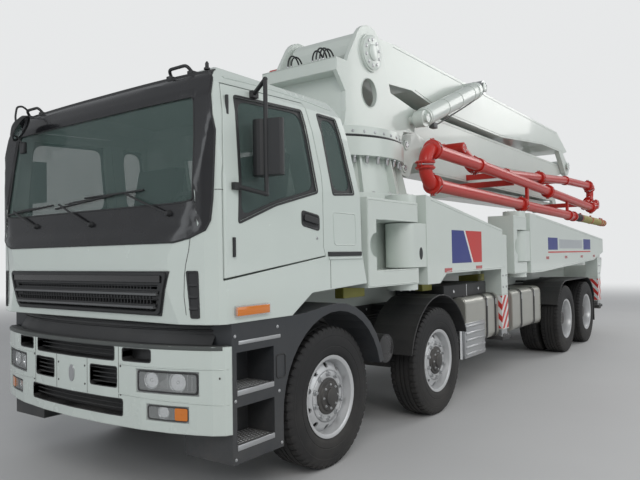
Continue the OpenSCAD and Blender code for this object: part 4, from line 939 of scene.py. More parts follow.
def makeFrontSeams():
    # the joints between the body panels, as thin dark threads on the skin
    bm = bmesh.new()
    for side in (1, -1):
        line = [(1.062, 1.700), (1.050, 1.620), (1.030, 1.540), (1.020, 1.470), (1.016, 1.350),
                (1.035, 1.200)]
        addTube(bm, [frontSpot(side * y, z) for y, z in alongLine(line, 5)], 0.0022, 6)
        addTube(bm, [frontSpot(side * y, 1.985) for y in span(1.206, 1.236, 6)], 0.0022, 6)
    makePiece("panelSeams", bm, ["frameDark"])


makeScreenSurround()
makeVisor()
makeWipers()
makeGrille()
makeCornerVents()
makeFrontSeams()
print("the cab's front is dressed")


# Bumper, lamps, steps and cab sides

bumperNodes = ("bumper", "lamps")
bumperMiddle = 0.725                                # height of the bumper's widest solid band
bumperBands = (bumperMiddle, 0.915, 1.030, 0.550)   # the solid bands, asked in this order


def bumperSpot(y, z, away=0.0):
    # over an opening the face is taken from the first solid band that is met
    starts = ((firstAxleX + outside, y, level) for level in (z, *bumperBands))
    hits = (onSkin(bumperNodes, start, (-1, 0, 0)) for start in starts)
    return Vector((next(hit.x for hit in hits if hit) + away, y, z))


def behindBumper(y, z, away):
    # a place before or behind the widest band's face, at any height
    return bumperSpot(y, bumperMiddle, away) + Vector((0, 0, z - bumperMiddle))


def makeBumperTop():
    # slate tread that covers the bumper's upper face, with grooves across
    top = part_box("bumper")[1][2]
    bm = bmesh.new()
    rows = []
    for y in span(-1.215, 1.215, 82):
        x = frontX(y, top - 0.02, bumperNodes)
        rows.append([Vector((x + a, y, top + b)) for a, b in (
            (0.001, -0.022), (0.004, -0.020), (0.004, -0.004), (-0.004, 0.004), (-0.064, 0.004),
            (-0.066, -0.02))])
    addSkin(bm, rows, capped=True)
    for shift in (-0.018, -0.034, -0.050):
        groove = [Vector((frontX(y, top - 0.02, bumperNodes) + shift, y, top + 0.004))
                  for y in span(-1.2, 1.2, 41)]
        addTube(bm, groove, 0.0035, 6, 1)
    makePiece("bumperTread", bm, ["slateTread", "blackPlastic"])


def makeBumperLines():
    # two pressed lines along the painted face, and the joints between its three panels
    bm = bmesh.new()
    for side in (1, -1):
        upper = [bumperSpot(side * y, 0.912) for y in span(0.50, 1.236, 30)]
        lower = [bumperSpot(side * y, 0.742 - 0.040 * (y - 0.03) / 1.2) for y in span(0.49, 1.236, 30)]
        for route in (upper, lower):
            addTube(bm, route, 0.0045, 8)
    makePiece("bumperPresses", bm, ["cabWhite"], smooth=60)
    bm = bmesh.new()
    for side in (1, -1):
        for y, low, high in ((0.488, 0.700, 1.03), (0.180, 0.70, 0.93)):
            addTube(bm, [bumperSpot(side * y, z) for z in span(low, high, 12)], 0.0018, 6)
        for y, z in ((0.505, 0.90), (0.505, 0.72), (0.155, 0.875), (0.155, 0.755), (1.20, 0.86)):
            addLathe(bm, bumperSpot(side * y, z, -0.001), (1, 0, 0),
                     [(0, 0.007), (0.003, 0.007), (0.005, 0.004)], 12)
    makePiece("bumperJoints", bm, ["frameDark"])


shield = {
    "levels": (0.55, 0.72, 0.90, 1.04, 1.12, 1.20), "behind": -0.082, "step": 0.05, "stepFrom": 1.05,
    "ribs": (1.07, 1.10, 1.13, 1.16), "wideBars": (0.625, 0.655, 0.962, 0.992),
    # openings, all from the middle: across, half width, low, high
    "wide": [(0.0, 0.448, 0.935, 1.020), (0.0, 0.521, 0.590, 0.690)],
    "pairs": [(0.640, 0.115, 0.940, 1.015), (0.3425, 0.1275, 0.765, 0.890)],
    "lip": 0.006, "depth": 0.074,
    # the bare oval in the middle of the bumper: across, height, half width, half height
    "oval": (0.012, 0.816, 0.030, 0.056),
}


def makeFrontShield():
    # black moulded panel behind the bumper that closes the look under the cab; through the openings its
    # plain black is painted shade for the dark space behind them
    bm = bmesh.new()
    rings = []
    for z in shield["levels"]:
        behind = shield["behind"] - shield["step"] * (z > shield["stepFrom"])
        rings.append([behindBumper(y, z, behind) for y in span(-1.10, 1.10, 45)])
    thick = [[p - Vector((0.006, 0, 0)) for p in ring] for ring in rings]
    for face in (rings, thick):
        addSkin(bm, face, False, False)
    for z in shield["ribs"]:
        addTube(bm, [behindBumper(y, z, -0.128) for y in span(-1.08, 1.08, 31)], 0.006, 6)
    # bars across the square openings and the wide ones
    for side in (1, -1):
        for z in span(0.785, 0.872, 4):
            addTube(bm, [behindBumper(side * y, z, -0.022) for y in (0.216, 0.34, 0.468)], 0.005, 6)
    for z in shield["wideBars"]:
        half = 0.44 if z > 0.9 else 0.515
        addTube(bm, [behindBumper(y, z, -0.035) for y in span(-half, half, 15)], 0.005, 6)
    # black linings of the openings: painted shade on their inner walls, where shade falls inside them
    openings = shield["wide"] + [(side * y, *rest) for side in (1, -1) for y, *rest in shield["pairs"]]
    for middle, half, low, high in openings:
        corners = [(middle - half, low), (middle + half, low), (middle + half, high), (middle - half, high)]
        mouth = dense(roundedOutline(corners, 0.020), 0.06)
        lip = [(y + math.copysign(shield["lip"], y - middle),
                z + math.copysign(shield["lip"], z - (low + high) / 2)) for y, z in mouth]
        rows = [[behindBumper(y, z, away) for y, z in ring]
                for ring, away in ((lip, 0.0016), (mouth, 0.0016), (mouth, -shield["depth"]))]
        addSkin(bm, rows)
    makePiece("frontShield", bm, ["blackPlastic"])
    bm = bmesh.new()
    y, z, across, up = shield["oval"]
    face = bumperSpot(y, z, 0.002).x
    addPrism(bm, oval(y, z, across, up, 32), face - 0.006, face + 0.003, axis="x")
    makePiece("bareOval", bm, ["bareSteel"])


headlamp = {"inner": 0.650, "outer": 1.078, "low": 0.758, "high": 0.888,
            # across, height, bowl radius
            "bowls": [(0.735, 0.824, 0.050), (0.925, 0.822, 0.058)],
            "ribs": 7, "ribFrom": 0.84, "ribPitch": 0.028}
fogLamp = {"inner": 0.728, "split": 0.925, "outer": 1.012, "low": 0.592, "high": 0.678, "middle": 0.635}
# side marker on the skirt: span along x, span across, span of height
sideMarker = ((0.795, 1.095), (1.2685, 1.250), (1.222, 1.278))


def lampOutline(side, inner, outer, low, high, radius):
    corners = [(inner, low), (outer, low), (outer, high), (inner, high)]
    return roundedOutline([(side * y, z) for y, z in corners], radius)


def makeLampBowls():
    black = bmesh.new()
    bright = bmesh.new()
    amber = bmesh.new()
    for side in (1, -1):
        for lamp in (headlamp, fogLamp):
            # dark back wall and rim of each bay
            wide = dense(lampOutline(side, lamp["inner"], lamp["outer"], lamp["low"], lamp["high"], 0.022),
                         0.06)
            middle = (side * (lamp["inner"] + lamp["outer"]) / 2, (lamp["low"] + lamp["high"]) / 2)
            addFrontBand(black, wide, shrunk(wide, middle, 0.955, 0.86), 0.003, 2, bumperNodes, back=0.050)
            back = [bumperSpot(y, z, -0.058) for y, z in wide]
            black.faces.new([black.verts.new(p) for p in back])
        for y, z, radius in headlamp["bowls"]:
            mouth = bumperSpot(side * y, z, -0.020)
            lean = Vector((1, side * 0.22, 0))
            addLathe(bright, mouth, lean, [(-0.034, 0.002), (-0.033, radius * 0.35), (-0.024, radius * 0.72),
                                           (-0.004, radius * 0.98), (0.0, radius), (0.0, radius + 0.004),
                                           (-0.006, radius + 0.004)], 28)
            addLathe(bright, mouth, lean, [(-0.034, 0.010), (-0.008, 0.012), (-0.004, 0.008), (-0.002, 0.0)],
                     14)
        for i in range(headlamp["ribs"]):
            y = side * (headlamp["ribFrom"] + headlamp["ribPitch"] * i)
            depth = bumperSpot(y, 0.82).x
            addBox(bright, (depth - 0.040, y - 0.0015, 0.765), (depth - 0.034, y + 0.0015, 0.882))
        fogY = side * (fogLamp["inner"] + fogLamp["split"]) / 2
        addLathe(bright, bumperSpot(fogY, fogLamp["middle"], -0.018), (1, side * 0.25, 0),
                 [(-0.030, 0.002), (-0.022, 0.026), (-0.004, 0.037), (0.0, 0.038), (0.0, 0.041),
                  (-0.004, 0.041)], 24)
        wide = dense(lampOutline(side, fogLamp["split"], fogLamp["outer"] - 0.004, fogLamp["low"] + 0.006,
                                 fogLamp["high"] - 0.006, 0.012), 0.04)
        middle = (side * (fogLamp["split"] + fogLamp["outer"]) / 2, fogLamp["middle"])
        addFrontBand(amber, wide, shrunk(wide, middle, 0.05, 0.05), 0.0035, 3, bumperNodes, back=0.02)
        sideBox(amber, side, *sideMarker, soft=0.006)
    makePiece("lampBays", black, ["blackPlastic"])
    makePiece("lampBowls", bright, ["chrome"])
    makePiece("turnLamps", amber, ["amberLens"])


# parts of a tail lamp: from, to, look; the look's numbers follow the list at the piece
tailLamp = {"low": 0.470, "high": 0.540, "parts": [(0.722, 0.85, 2), (0.856, 0.978, 1), (0.984, 1.098, 0)]}


def makeTailLamps():
    # red, amber and clear parts over the lamps on the rear guard bar, with a bare plate between them
    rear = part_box("lamps")[0][0]
    bm = bmesh.new()
    for side in (1, -1):
        for a, b, look in tailLamp["parts"]:
            near, far = sorted((side * a, side * b))
            addBox(bm, (rear - 0.004, near, tailLamp["low"]), (rear + 0.03, far, tailLamp["high"]), look,
                   soft=0.004)
            addLathe(bm, (rear - 0.003, side * (a + b) / 2, (tailLamp["low"] + tailLamp["high"]) / 2),
                     (-1, 0, 0),
                     [(0, 0.026), (0.003, 0.024), (0.004, 0.010)], 20, look)
    makePiece("tailLenses", bm, ["redLens", "amberLens", "paleLens"])
    bm = bmesh.new()
    addBox(bm, (rear + 0.038, -0.26, 0.448), (rear + 0.0435, 0.26, 0.562), soft=0.002)
    makePiece("barePlate", bm, ["paleLens"])


stepWells = {
    "x": (0.732, 1.076), "floors": (0.430, 0.760), "bosses": (11, 7), "pitch": (0.030, 0.029),
    "grab": (0.66, 0.86, 0.045, 0.075),     # recess: x, height, half width, half height
    "screws": ((0.66, 0.36), (0.68, 0.70), (1.09, 0.36), (1.09, 0.71), (1.09, 1.10), (0.69, 1.12)),
}


def makeSteps():
    # chequered treads with bright edges in the step boxes, and a grab recess beside them
    bm = bmesh.new()
    for side in (1, -1):
        for floorZ in stepWells["floors"]:
            sideBox(bm, side, stepWells["x"], (1.005, 1.236), (floorZ, floorZ + 0.010), 0, 0.003)
            sideBox(bm, side, stepWells["x"], (1.218, 1.241), (floorZ - 0.022, floorZ + 0.013), 1, 0.004)
            for i in range(stepWells["bosses"][0]):
                for j in range(stepWells["bosses"][1]):
                    x = 0.748 + stepWells["pitch"][0] * (i + j % 2 / 2)
                    y = 1.022 + stepWells["pitch"][1] * j
                    sideBox(bm, side, (x, x + 0.016), (y, y + 0.006), (floorZ + 0.009, floorZ + 0.0135), 1)
        # bright strip on the upper ledge, and the frame of the grab recess on the box's front wall
        sideBox(bm, side, (0.66, 1.06), (1.226, 1.240), (1.045, 1.070), 1, 0.004)
        x, z, across, up = stepWells["grab"]
        corners = [(x - across, z - up), (x + across, z - up), (x + across, z + up), (x - across, z + up)]
        ring = [at(a, side * 1.2385, b) for a, b in roundedOutline(corners, 0.02)]
        addTube(bm, ring, 0.004, 6, 2, closed=True)
        for x, z in stepWells["screws"]:
            addBolt(bm, at(x, side * 1.237, z), (0, side, 0), 0.008, 0.006, 1)
    makePiece("stepTreads", bm, ["castIron", "bareSteel", "blackPlastic"])


def offsetOutline(corners, away):
    # every edge moved outward by the same distance
    area = sum(a[0] * b[1] - b[0] * a[1] for a, b in zip(corners, corners[1:] + corners[:1]))
    turn = 1 if area > 0 else -1
    rows = []
    for i in range(len(corners)):
        a, b, c = (Vector(corners[(i + k) % len(corners)]) for k in (-1, 0, 1))
        into, out = (b - a).normalized(), (c - b).normalized()
        n0, n1 = Vector((into.y, -into.x)) * turn, Vector((out.y, -out.x)) * turn
        rows.append(tuple(b + (n0 + n1) * (away / (1 + n0.dot(n1)))))
    return rows


def denseAlike(outlines, step):
    # outlines with equally many points, cut in the same places
    result = [[] for outline in outlines]
    for i in range(len(outlines[0])):
        ends = [(outline[i], outline[(i + 1) % len(outline)]) for outline in outlines]
        parts = max(1, round(math.dist(*ends[0]) / step))
        for k in range(parts):
            for rows, (a, b) in zip(result, ends):
                rows.append(between(a, b, k / parts))
    return result


def addSideBand(bm, outlines, side, nodes, lift, back):
    # a band on the cab's side over outlines [(x from the first axle, z)], from the outside in
    spot = sideSpot(side, nodes)
    levels = [(outlines[0], -back)] + [(outline, lift) for outline in outlines] + [(outlines[-1], -back)]
    addSkin(bm, [[spot(x, z, away) for x, z in outline] for outline, away in levels], True, True)


sideWindows = {
    "door": [(1.040, 1.800), (0.700, 1.925), (0.240, 2.040), (0.330, 2.610), (1.010, 2.580)],
    "quarter": [(0.030, 2.040), (-0.240, 2.060), (-0.100, 2.620), (0.125, 2.620)],
}


def makeWindowSeals():
    for name, side in sides.items():
        for window, body, nodes in (("door", "door_" + name, ("door_" + name, "door_glass_" + name)),
                                    ("quarter", "chassis", ("cab_shell", "cab_glass"))):
            corners = sideWindows[window]
            lines = ((0.016, 0.030), (0.0015, 0.003), (-0.0015, 0.004), (-0.020, 0.085))
            outlines = [roundedOutline(offsetOutline(corners, away), radius) for away, radius in lines]
            bm = bmesh.new()
            addSideBand(bm, denseAlike(outlines, 0.09), side, nodes, 0.003, 0.010)
            makePiece(f"{window}Seal_{name}", bm, ["blackPlastic"], body)


doorHandle = {
    "dish": [(0.215, 1.755), (0.425, 1.790), (0.425, 1.900), (0.215, 1.870)], "middle": (0.32, 1.829),
    "flap": [(0.235, 1.800), (0.405, 1.828), (0.405, 1.868), (0.235, 1.842)],
    "lock": (0.245, 1.705), "hinges": (2.515, 1.640),
}


def makeDoorFittings():
    for name, side in sides.items():
        spot = sideSpot(side, ("door_" + name,))
        bm = bmesh.new()
        # handle: a rounded black dish with a flap across it
        dish = roundedOutline(doorHandle["dish"], 0.030)
        levels = ((1.0, 1.0, -0.004), (1.0, 1.0, 0.004), (0.86, 0.82, 0.005), (0.78, 0.70, 0.001))
        rings = [[spot(x, z, away) for x, z in shrunk(dish, doorHandle["middle"], across, up)]
                 for across, up, away in levels]
        addSkin(bm, rings)
        bm.faces.new([bm.verts.new(p) for p in rings[-1]])
        flap = roundedOutline(doorHandle["flap"], 0.012)
        rings = [[spot(x, z, away) for x, z in flap] for away in (0.001, 0.016)]
        addSkin(bm, rings, capped=True)
        addLathe(bm, spot(0.255, 1.815, 0.002), (0, side, 0), [(0, 0.013), (0.008, 0.013), (0.010, 0.009)],
                 18, 1)
        addLathe(bm, spot(*doorHandle["lock"], -0.001), (0, side, 0),
                 [(0, 0.012), (0.003, 0.012), (0.004, 0.009)], 18, 1)
        key = spot(*doorHandle["lock"], 0.003)
        addBlock(bm, key, (0.0012, 0.001, 0.006))
        for z in doorHandle["hinges"]:
            addLathe(bm, spot(1.085, z) + Vector((0.012, side * 0.004, -0.060)), (0, 0, 1),
                     [(0, 0.006), (0.002, 0.011), (0.118, 0.011), (0.120, 0.006)], 14)
        makePiece(f"doorFittings_{name}", bm, ["blackPlastic", "bareSteel"], "door_" + name)
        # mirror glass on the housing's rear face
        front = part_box("mirror_" + name)[1][0]
        bm = bmesh.new()
        outline = roundedOutline([(1.272, 2.115), (1.432, 2.115), (1.432, 2.410), (1.272, 2.410)], 0.03)
        start = at(0.5, 0, 0).x
        flat = []
        for y, z in dense(outline, 0.05):
            hit = onSkin(("mirror_" + name,), (start, side * y, z), (1, 0, 0))
            flat.append(hit.x if hit else front)
        rear = min(flat) - 0.003
        rings = [[Vector((rear + d, side * y, z)) for y, z in outline] for d in (0.02, 0.0)]
        addSkin(bm, rings, capped=True)
        makePiece(f"mirrorGlass_{name}", bm, ["mirrorFace"], "door_" + name)


def makeCabSideTrim():
    bm = bmesh.new()
    dark = bmesh.new()
    shell = ("cab_shell", "door_left", "door_right")
    for side in (1, -1):
        spot = sideSpot(side, shell)
        # dark moulding behind the door with a sill below it
        rows = [[spot(x, 1.592, 0) + Vector((0, side * a, b)) for a, b in (
            (-0.004, -0.020), (0.007, -0.016), (0.009, 0.012), (-0.004, 0.018))]
            for x in span(0.112, -0.340, 12)]
        addSkin(dark, rows, capped=True)
        rows = [[spot(x, 1.560, 0) + Vector((0, side * a, b)) for a, b in (
            (-0.004, -0.016), (0.010, -0.008), (0.010, 0.006), (-0.004, 0.012))]
            for x in span(0.105, -0.345, 12)]
        addSkin(bm, rows, capped=True)
        # the joint behind the door, over the heights where the shell has a skin
        starts = ((at(0.082, 0, 0).x, side * outside, z) for z in span(1.200, 1.545, 16))
        hits = (onSkin(shell, start, (0, -side, 0)) for start in starts)
        addTube(dark, [hit for hit in hits if hit], 0.0020, 6)
        # drip rail over the door and the quarter window
        rail = [spot(x, 2.700 + 0.030 * sin((x + 0.1) / 1.2 * pi), 0.001) for x in span(1.06, -0.10, 24)]
        addTube(bm, rail, 0.008, 8)
        # raised field behind the door
        field = roundedOutline([(0.030, 1.66), (-0.27, 1.66), (-0.26, 1.90), (0.040, 1.90)], 0.03)
        addTube(bm, [spot(x, z) for x, z in field], 0.004, 8, closed=True)
    makePiece("cabSideTrim", bm, ["cabWhite"], smooth=60)
    makePiece("cabSideMouldings", dark, ["blackPlastic"])


def makeKerbMirror():
    # round wide-angle mirror on an arm at the right front corner of the roof, and a small one below it
    bm = bmesh.new()
    foot, centre = at(1.17, -0.93, 2.775), at(1.325, -0.78, 2.600)
    look = Vector((-0.55, 0.50, -0.42)).normalized()
    arm = [foot, foot + Vector((0.05, 0, 0.035)), at(1.285, -0.90, 2.79), at(1.320, -0.86, 2.70),
           centre - look * 0.03]
    addTube(bm, roundedRoute(arm, 0.03), 0.008, 8)
    addLathe(bm, centre, look, [(-0.050, 0.0), (-0.046, 0.045), (-0.020, 0.098), (0.004, 0.112),
                                (0.012, 0.112), (0.012, 0.104), (0.006, 0.102)], 36)
    addLathe(bm, centre, look, [(0.004, 0.103), (0.010, 0.080), (0.015, 0.040), (0.017, 0.0)], 36, 1)
    below = centre + Vector((-0.01, 0.02, -0.155))
    addTube(bm, [centre - look * 0.03 - Vector((0, 0, 0.08)), below + Vector((0, 0, 0.03))], 0.007, 8)
    addBox(bm, below - Vector((0.020, 0.032, 0.045)), below + Vector((0.014, 0.032, 0.045)), 0, soft=0.010)
    makePiece("kerbMirror", bm, ["blackPlastic", "mirrorFace"])


makeBumperTop()
makeBumperLines()
makeFrontShield()
makeLampBowls()
makeTailLamps()
makeSteps()
makeWindowSeals()
makeDoorFittings()
makeCabSideTrim()
makeKerbMirror()
print("bumper, lamps, steps and cab sides are dressed")


# Legs, tanks, guards and the chassis side

def addSheet(bm, side, y, outline, look, proud):
    # a flat thin sheet on a leg's outer face, outline (x from the first axle, z)
    rows = [(at(x, 0, 0).x, z) for x, z in outline]
    low, high = sorted((side * (y - 0.002), side * (y + proud)))
    addPrism(bm, rows, low, high, look)


legFace = 1.240
reflector = 3       # the look that stands a little prouder
legSheets = {
    "front_leg": [
        # outline and look: blue, red, the white between them, then two reflectors
        ([(-2.08, 1.82), (-2.385, 1.82), (-2.595, 1.48), (-2.08, 1.48)], 0),
        ([(-2.425, 1.82), (-2.88, 1.82), (-2.88, 1.48), (-2.635, 1.48)], 1),
        ([(-2.385, 1.82), (-2.425, 1.82), (-2.635, 1.48), (-2.595, 1.48)], 2),
        ([(-1.90, 1.392), (-1.90, 1.434), (-2.07, 1.434), (-2.07, 1.392)], 3),
        ([(-2.71, 1.400), (-2.71, 1.442), (-2.88, 1.442), (-2.88, 1.400)], 3)],
    "rear_leg": [
        ([(-5.45, 1.61), (-5.45, 1.79), (-5.95, 1.79), (-5.95, 1.61)], 0),
        ([(-6.05, 1.63), (-6.05, 1.77), (-7.45, 1.77), (-7.45, 1.63)], 4),
        ([(-7.55, 1.61), (-7.55, 1.79), (-8.05, 1.79), (-8.05, 1.61)], 0),
        ([(-5.45, 1.565), (-5.45, 1.585), (-8.05, 1.585), (-8.05, 1.565)], 1)]
        + [([(x, 1.475), (x, 1.513), (x - 0.13, 1.513), (x - 0.13, 1.475)], 3)
           for x in (-5.35, -6.35, -7.35, -8.25)],
}
legSeams = {
    "front_leg": [[(-1.62, 2.098), (-3.54, 1.838)], [(-3.54, 1.408), (-1.955, 1.402), (-1.81, 1.316)]],
    "rear_leg": [[(-4.92, 2.070), (-9.05, 1.786)],
                 [(-9.05, 1.586), (-8.30, 1.446), (-5.20, 1.326), (-4.66, 1.326)]],
}
pins = {"front_leg": -1.300, "rear_leg": -4.450}
posts = {"front": (-3.720, "front_slide", "front_jack"), "rear": (-8.900, "rear_leg", "rear_jack")}
legMiddle = 1.085
knuckleHole = (-1.405, 1.585, 0.035, 0.058)     # x, height, half width, half height
pinCap = {"top": 2.125, "bottom": 1.252, "bolts": 8, "circle": 0.108}
housing = {"half": 0.1095, "grow": 0.0015, "stripes": (0.652, 1.055), "collars": (0.648, 1.075),
           "pads": (1.16, 1.30)}
jackFoot = {"x": 0.143, "y": 0.128, "low": 0.517, "high": 0.562, "boltX": 0.112, "boltY": 0.100}


def makeLegSheets():
    for leg, sheets in legSheets.items():
        for name, side in sides.items():
            body = f"{leg}_{name}"
            bm = bmesh.new()
            for outline, look in sheets:
                addSheet(bm, side, legFace, outline, look, 0.0035 if look == reflector else 0.0016)
            makePiece(f"{leg}Sheets_{name}", bm, ["signBlue", "signRed", "signWhite", "redLens", "signGrey"],
                      body)
            bm = bmesh.new()
            for seam in legSeams[leg]:
                for y in (legFace, 0.930):
                    addTube(bm, [at(x, side * y, z) for x, z in seam], 0.0045, 6)
            makePiece(f"{leg}Welds_{name}", bm, ["steelWhite"], body)
            # the knuckle's oval hole, pin caps with bolts
            bm = bmesh.new()
            if leg == "front_leg":
                x, z, halfX, halfZ = knuckleHole
                face = sideY(at(x, 0, 0).x, z, side, (body,))
                addSheet(bm, side, face, oval(x, z, halfX, halfZ, 24), 0, 0.001)
            for z, up in ((pinCap["top"], 1), (pinCap["bottom"], -1)):
                for a in boltAngles(pinCap["bolts"]):
                    turn = Vector((cos(a), sin(a), 0)) * pinCap["circle"]
                    addBolt(bm, at(pins[leg], side * legMiddle, z) + turn, (0, 0, up), 0.010, 0.009, 1)
                addLathe(bm, at(pins[leg], side * legMiddle, z), (0, 0, up),
                         [(-0.01, 0.058), (0.004, 0.058), (0.007, 0.052)], 24, 2)
            makePiece(f"{leg}Pin_{name}", bm, ["blackPlastic", "bareSteel", "steelWhite"], body)


def makePosts():
    for end, (x, holder, jack) in posts.items():
        for name, side in sides.items():
            y = side * legMiddle
            half = housing["half"] + housing["grow"]
            bm = bmesh.new()
            # striped sheet round the lower part of the housing
            ring = roundedOutline([(x - half, y - half), (x + half, y - half), (x + half, y + half),
                                   (x - half, y + half)], 0.002, 1)
            addSkin(bm, [[at(a, b, z) for a, b in ring] for z in housing["stripes"]])
            makePiece(f"{end}Stripes_{name}", bm, ["stripes"], f"{holder}_{name}")
            bm = bmesh.new()
            # collar at the housing's lower end, and bolts of the wear pads
            for z in housing["collars"]:
                for a, b in zip(ring, ring[1:] + ring[:1]):
                    addTube(bm, [at(*a, z), at(*b, z)], 0.006, 6)
            for z in housing["pads"]:
                for shift in (-0.055, 0.055):
                    addBolt(bm, at(x + shift, y + side * housing["half"], z), (0, side, 0), 0.011, 0.010, 1)
            makePiece(f"{end}Collar_{name}", bm, ["steelWhite", "bareSteel"], f"{holder}_{name}")
            # black foot with a domed socket and four bolts
            bm = bmesh.new()
            low, high = jackFoot["low"], jackFoot["high"]
            addBox(bm, at(x - jackFoot["x"], y - jackFoot["y"], low),
                   at(x + jackFoot["x"], y + jackFoot["y"], high), soft=0.008)
            addLathe(bm, at(x, y, high - 0.002), (0, 0, 1),
                     [(0, 0.118), (0.014, 0.114), (0.040, 0.085), (0.046, 0.06)], 28)
            for a in (-jackFoot["boltX"], jackFoot["boltX"]):
                for b in (-jackFoot["boltY"], jackFoot["boltY"]):
                    addBolt(bm, at(x + a, y + b, high), (0, 0, 1), 0.009, 0.008, 1)
            makePiece(f"{end}Foot_{name}", bm, ["blackPlastic", "bareSteel"], f"{jack}_{name}")


bracket = {
    "face": 1.2405, "backs": {"front_leg": -0.450, "rear_leg": -3.960},
    # weld lines: short ones clear of the knuckles, the upright, long ones along the plates' edges
    "short": (1.443, 1.879), "upright": (1.33, 2.03), "long": (1.326, 2.034),
    # gussets: span along x, span across, foot
    "gussets": [((-0.52, -0.86), (0.86, 0.95), 1.215), ((-1.98, -2.20), (0.86, 0.95), 1.195),
                ((-3.70, -3.96), (0.60, 0.86), 1.225)],
    "gussetTop": 1.309,
}


def makeForkDetails():
    # weld lines of the four brackets round the leg pins
    bm = bmesh.new()
    for side in (1, -1):
        y = side * bracket["face"]
        for leg, back in bracket["backs"].items():
            for z in bracket["short"]:
                addTube(bm, [at(pins[leg] + 0.02, y, z), at(back - 0.26, y, z)], 0.004, 6)
            addTube(bm, [at(back - 0.01, y, z) for z in bracket["upright"]], 0.004, 6)
            for z in bracket["long"]:
                addTube(bm, [at(back - 0.01, y, z), at(pins[leg], y, z)], 0.004, 6)
    makePiece("bracketWelds", bm, ["steelWhite"])
    bm = bmesh.new()
    for side in (1, -1):
        # small painted gussets between the subframe and the box
        for x, y, foot in bracket["gussets"]:
            sideBox(bm, side, x, y, (foot, bracket["gussetTop"]), soft=0.006)
    makePiece("gussets", bm, ["olivePaint"])


tanks = {
    # ends along x, and where the straps sit as shares of the length
    "ends": [(-2.600, -3.600, (0.62, 0.90)), (-4.100, -5.300, (0.30, 0.75))],
    "across": (0.556, 1.154), "height": (0.556, 1.094), "round": [0.06, 0.09, 0.09, 0.06],
    "strapHalf": 0.021, "strapThick": 0.004,
}


def tankOutline(side, inside=0.0):
    (y0, y1), (z0, z1) = tanks["across"], tanks["height"]
    corners = [(y0 + inside, z0 + inside), (y1 - inside, z0 + inside), (y1 - inside, z1 - inside),
               (y0 + inside, z1 - inside)]
    return roundedOutline([(side * y, z) for y, z in corners], tanks["round"], 6)


stepBox = {
    # spans along x, across and of height
    "box": ((-2.545, -3.120), (1.03, 1.166), (0.435, 0.815)),
    "locker": ((-2.260, -3.450), (0.470, 1.060), (1.094, 1.238)),
    "ribs": (0.475, 0.775, 5), "bosses": 14, "pitch": 0.038, "post": -2.488, "knobs": (-2.50, -3.20),
}


def makeTankFittings():
    bm = bmesh.new()
    half, thick = tanks["strapHalf"], tanks["strapThick"]
    for side in (1, -1):
        for front, rear, straps in tanks["ends"]:
            for share in straps:
                # strap round the tank with its clamp screw
                x = front + (rear - front) * share
                rings = [[at(x + a, y, z) for y, z in tankOutline(side)] for a in (-half, half)]
                outer = [[p + Vector((0, thick if p.y > side * 0.85 else -thick, 0)) for p in ring]
                         for ring in rings]
                addSkin(bm, [rings[0], outer[0], outer[1], rings[1]])
                addTube(bm, [at(x, side * 1.158, z) for z in (0.96, 1.03)], 0.007, 8, 1)
            # filler cap with its collar, and end seams
            addLathe(bm, at(front - 0.16, side * 1.02, 1.088), (0, 0, 1),
                     [(0, 0.055), (0.006, 0.055), (0.008, 0.045), (0.024, 0.045), (0.028, 0.040),
                      (0.029, 0.0)], 24)
            for x in (front - 0.012, rear + 0.012):
                addTube(bm, [at(x, y, z) for y, z in tankOutline(side, 0.002)], 0.004, 6, 2, closed=True)
    makePiece("tankStraps", bm, ["blackPlastic", "bareSteel", "tankGrey"])
    bm = bmesh.new()
    for side in (1, -1):
        # ribbed silver step box before the tank, its tube, and the black locker above
        sideBox(bm, side, *stepBox["box"], 0, 0.010)
        for z in span(*stepBox["ribs"]):
            sideBox(bm, side, (-2.565, -3.100), (1.160, 1.176), (z - 0.014, z + 0.014), 0, 0.005)
            for i in range(stepBox["bosses"]):
                x = -2.585 - stepBox["pitch"] * i
                sideBox(bm, side, (x, x - 0.018), (1.170, 1.180), (z - 0.005, z + 0.005))
        addTube(bm, [at(stepBox["post"], side * 1.13, z) for z in (0.44, 0.60, 0.84)], 0.024, 16, 1)
        addTube(bm, [at(stepBox["post"], side * 1.13, 0.80), at(-2.56, side * 1.08, 0.80)], 0.012, 8, 1)
        sideBox(bm, side, *stepBox["locker"], 2, 0.012)
        for x in stepBox["knobs"]:
            addLathe(bm, at(x, side * 1.060, 1.165), (0, side, 0),
                     [(0, 0.018), (0.006, 0.018), (0.009, 0.010)], 16, 1)
        sideBox(bm, side, (-2.85, -2.858), (1.055, 1.062), (1.10, 1.232), 1)
    makePiece("stepBox", bm, ["bareSteel", "chrome", "blackPlastic"])


def makeAirTank():
    bm = bmesh.new()
    for side in (1, -1):
        centre = at(-0.925, 0, 0.760)
        addLathe(bm, centre + Vector((0, side * 1.118, 0)), (0, side, 0),
                 [(-0.01, 0.1265), (0.0, 0.124), (0.005, 0.09), (0.006, 0.0)], 36, 0)
        for y in (0.62, 0.98):
            ring = ringAround(centre + Vector((0, side * y, 0)), Vector((0, 1, 0)), 0.1275, 36)
            addTube(bm, ring, 0.005, 6, 1, closed=True)
        # drain screw, and two lines to the rail
        addLathe(bm, centre + Vector((0, side * 0.80, -0.128)), (0, 0, -1),
                 [(0, 0.012), (0.02, 0.012), (0.03, 0.006)], 12, 2)
        for shift in (-0.05, 0.05):
            route = [centre + Vector((shift, side * 0.55, 0.09)),
                     centre + Vector((shift, side * 0.53, 0.19)),
                     centre + Vector((shift * 1.4, side * 0.44, 0.21))]
            addTube(bm, roundedRoute(route, 0.03), 0.008, 8, 1)
    makePiece("airTankFittings", bm, ["glossBlack", "blackPlastic", "bareSteel"])


guards = {
    # arcs round the wheels: centre along x, radius, distance from the middle, start and end in degrees
    "arcs": [(-1.850, 0.646, 1.213, 13, 159), (-6.425, 0.596, 1.231, 26, 90),
             (-7.735, 0.596, 1.231, 90, 154)],
    "axleHeight": 0.525, "flap": -8.285,
}


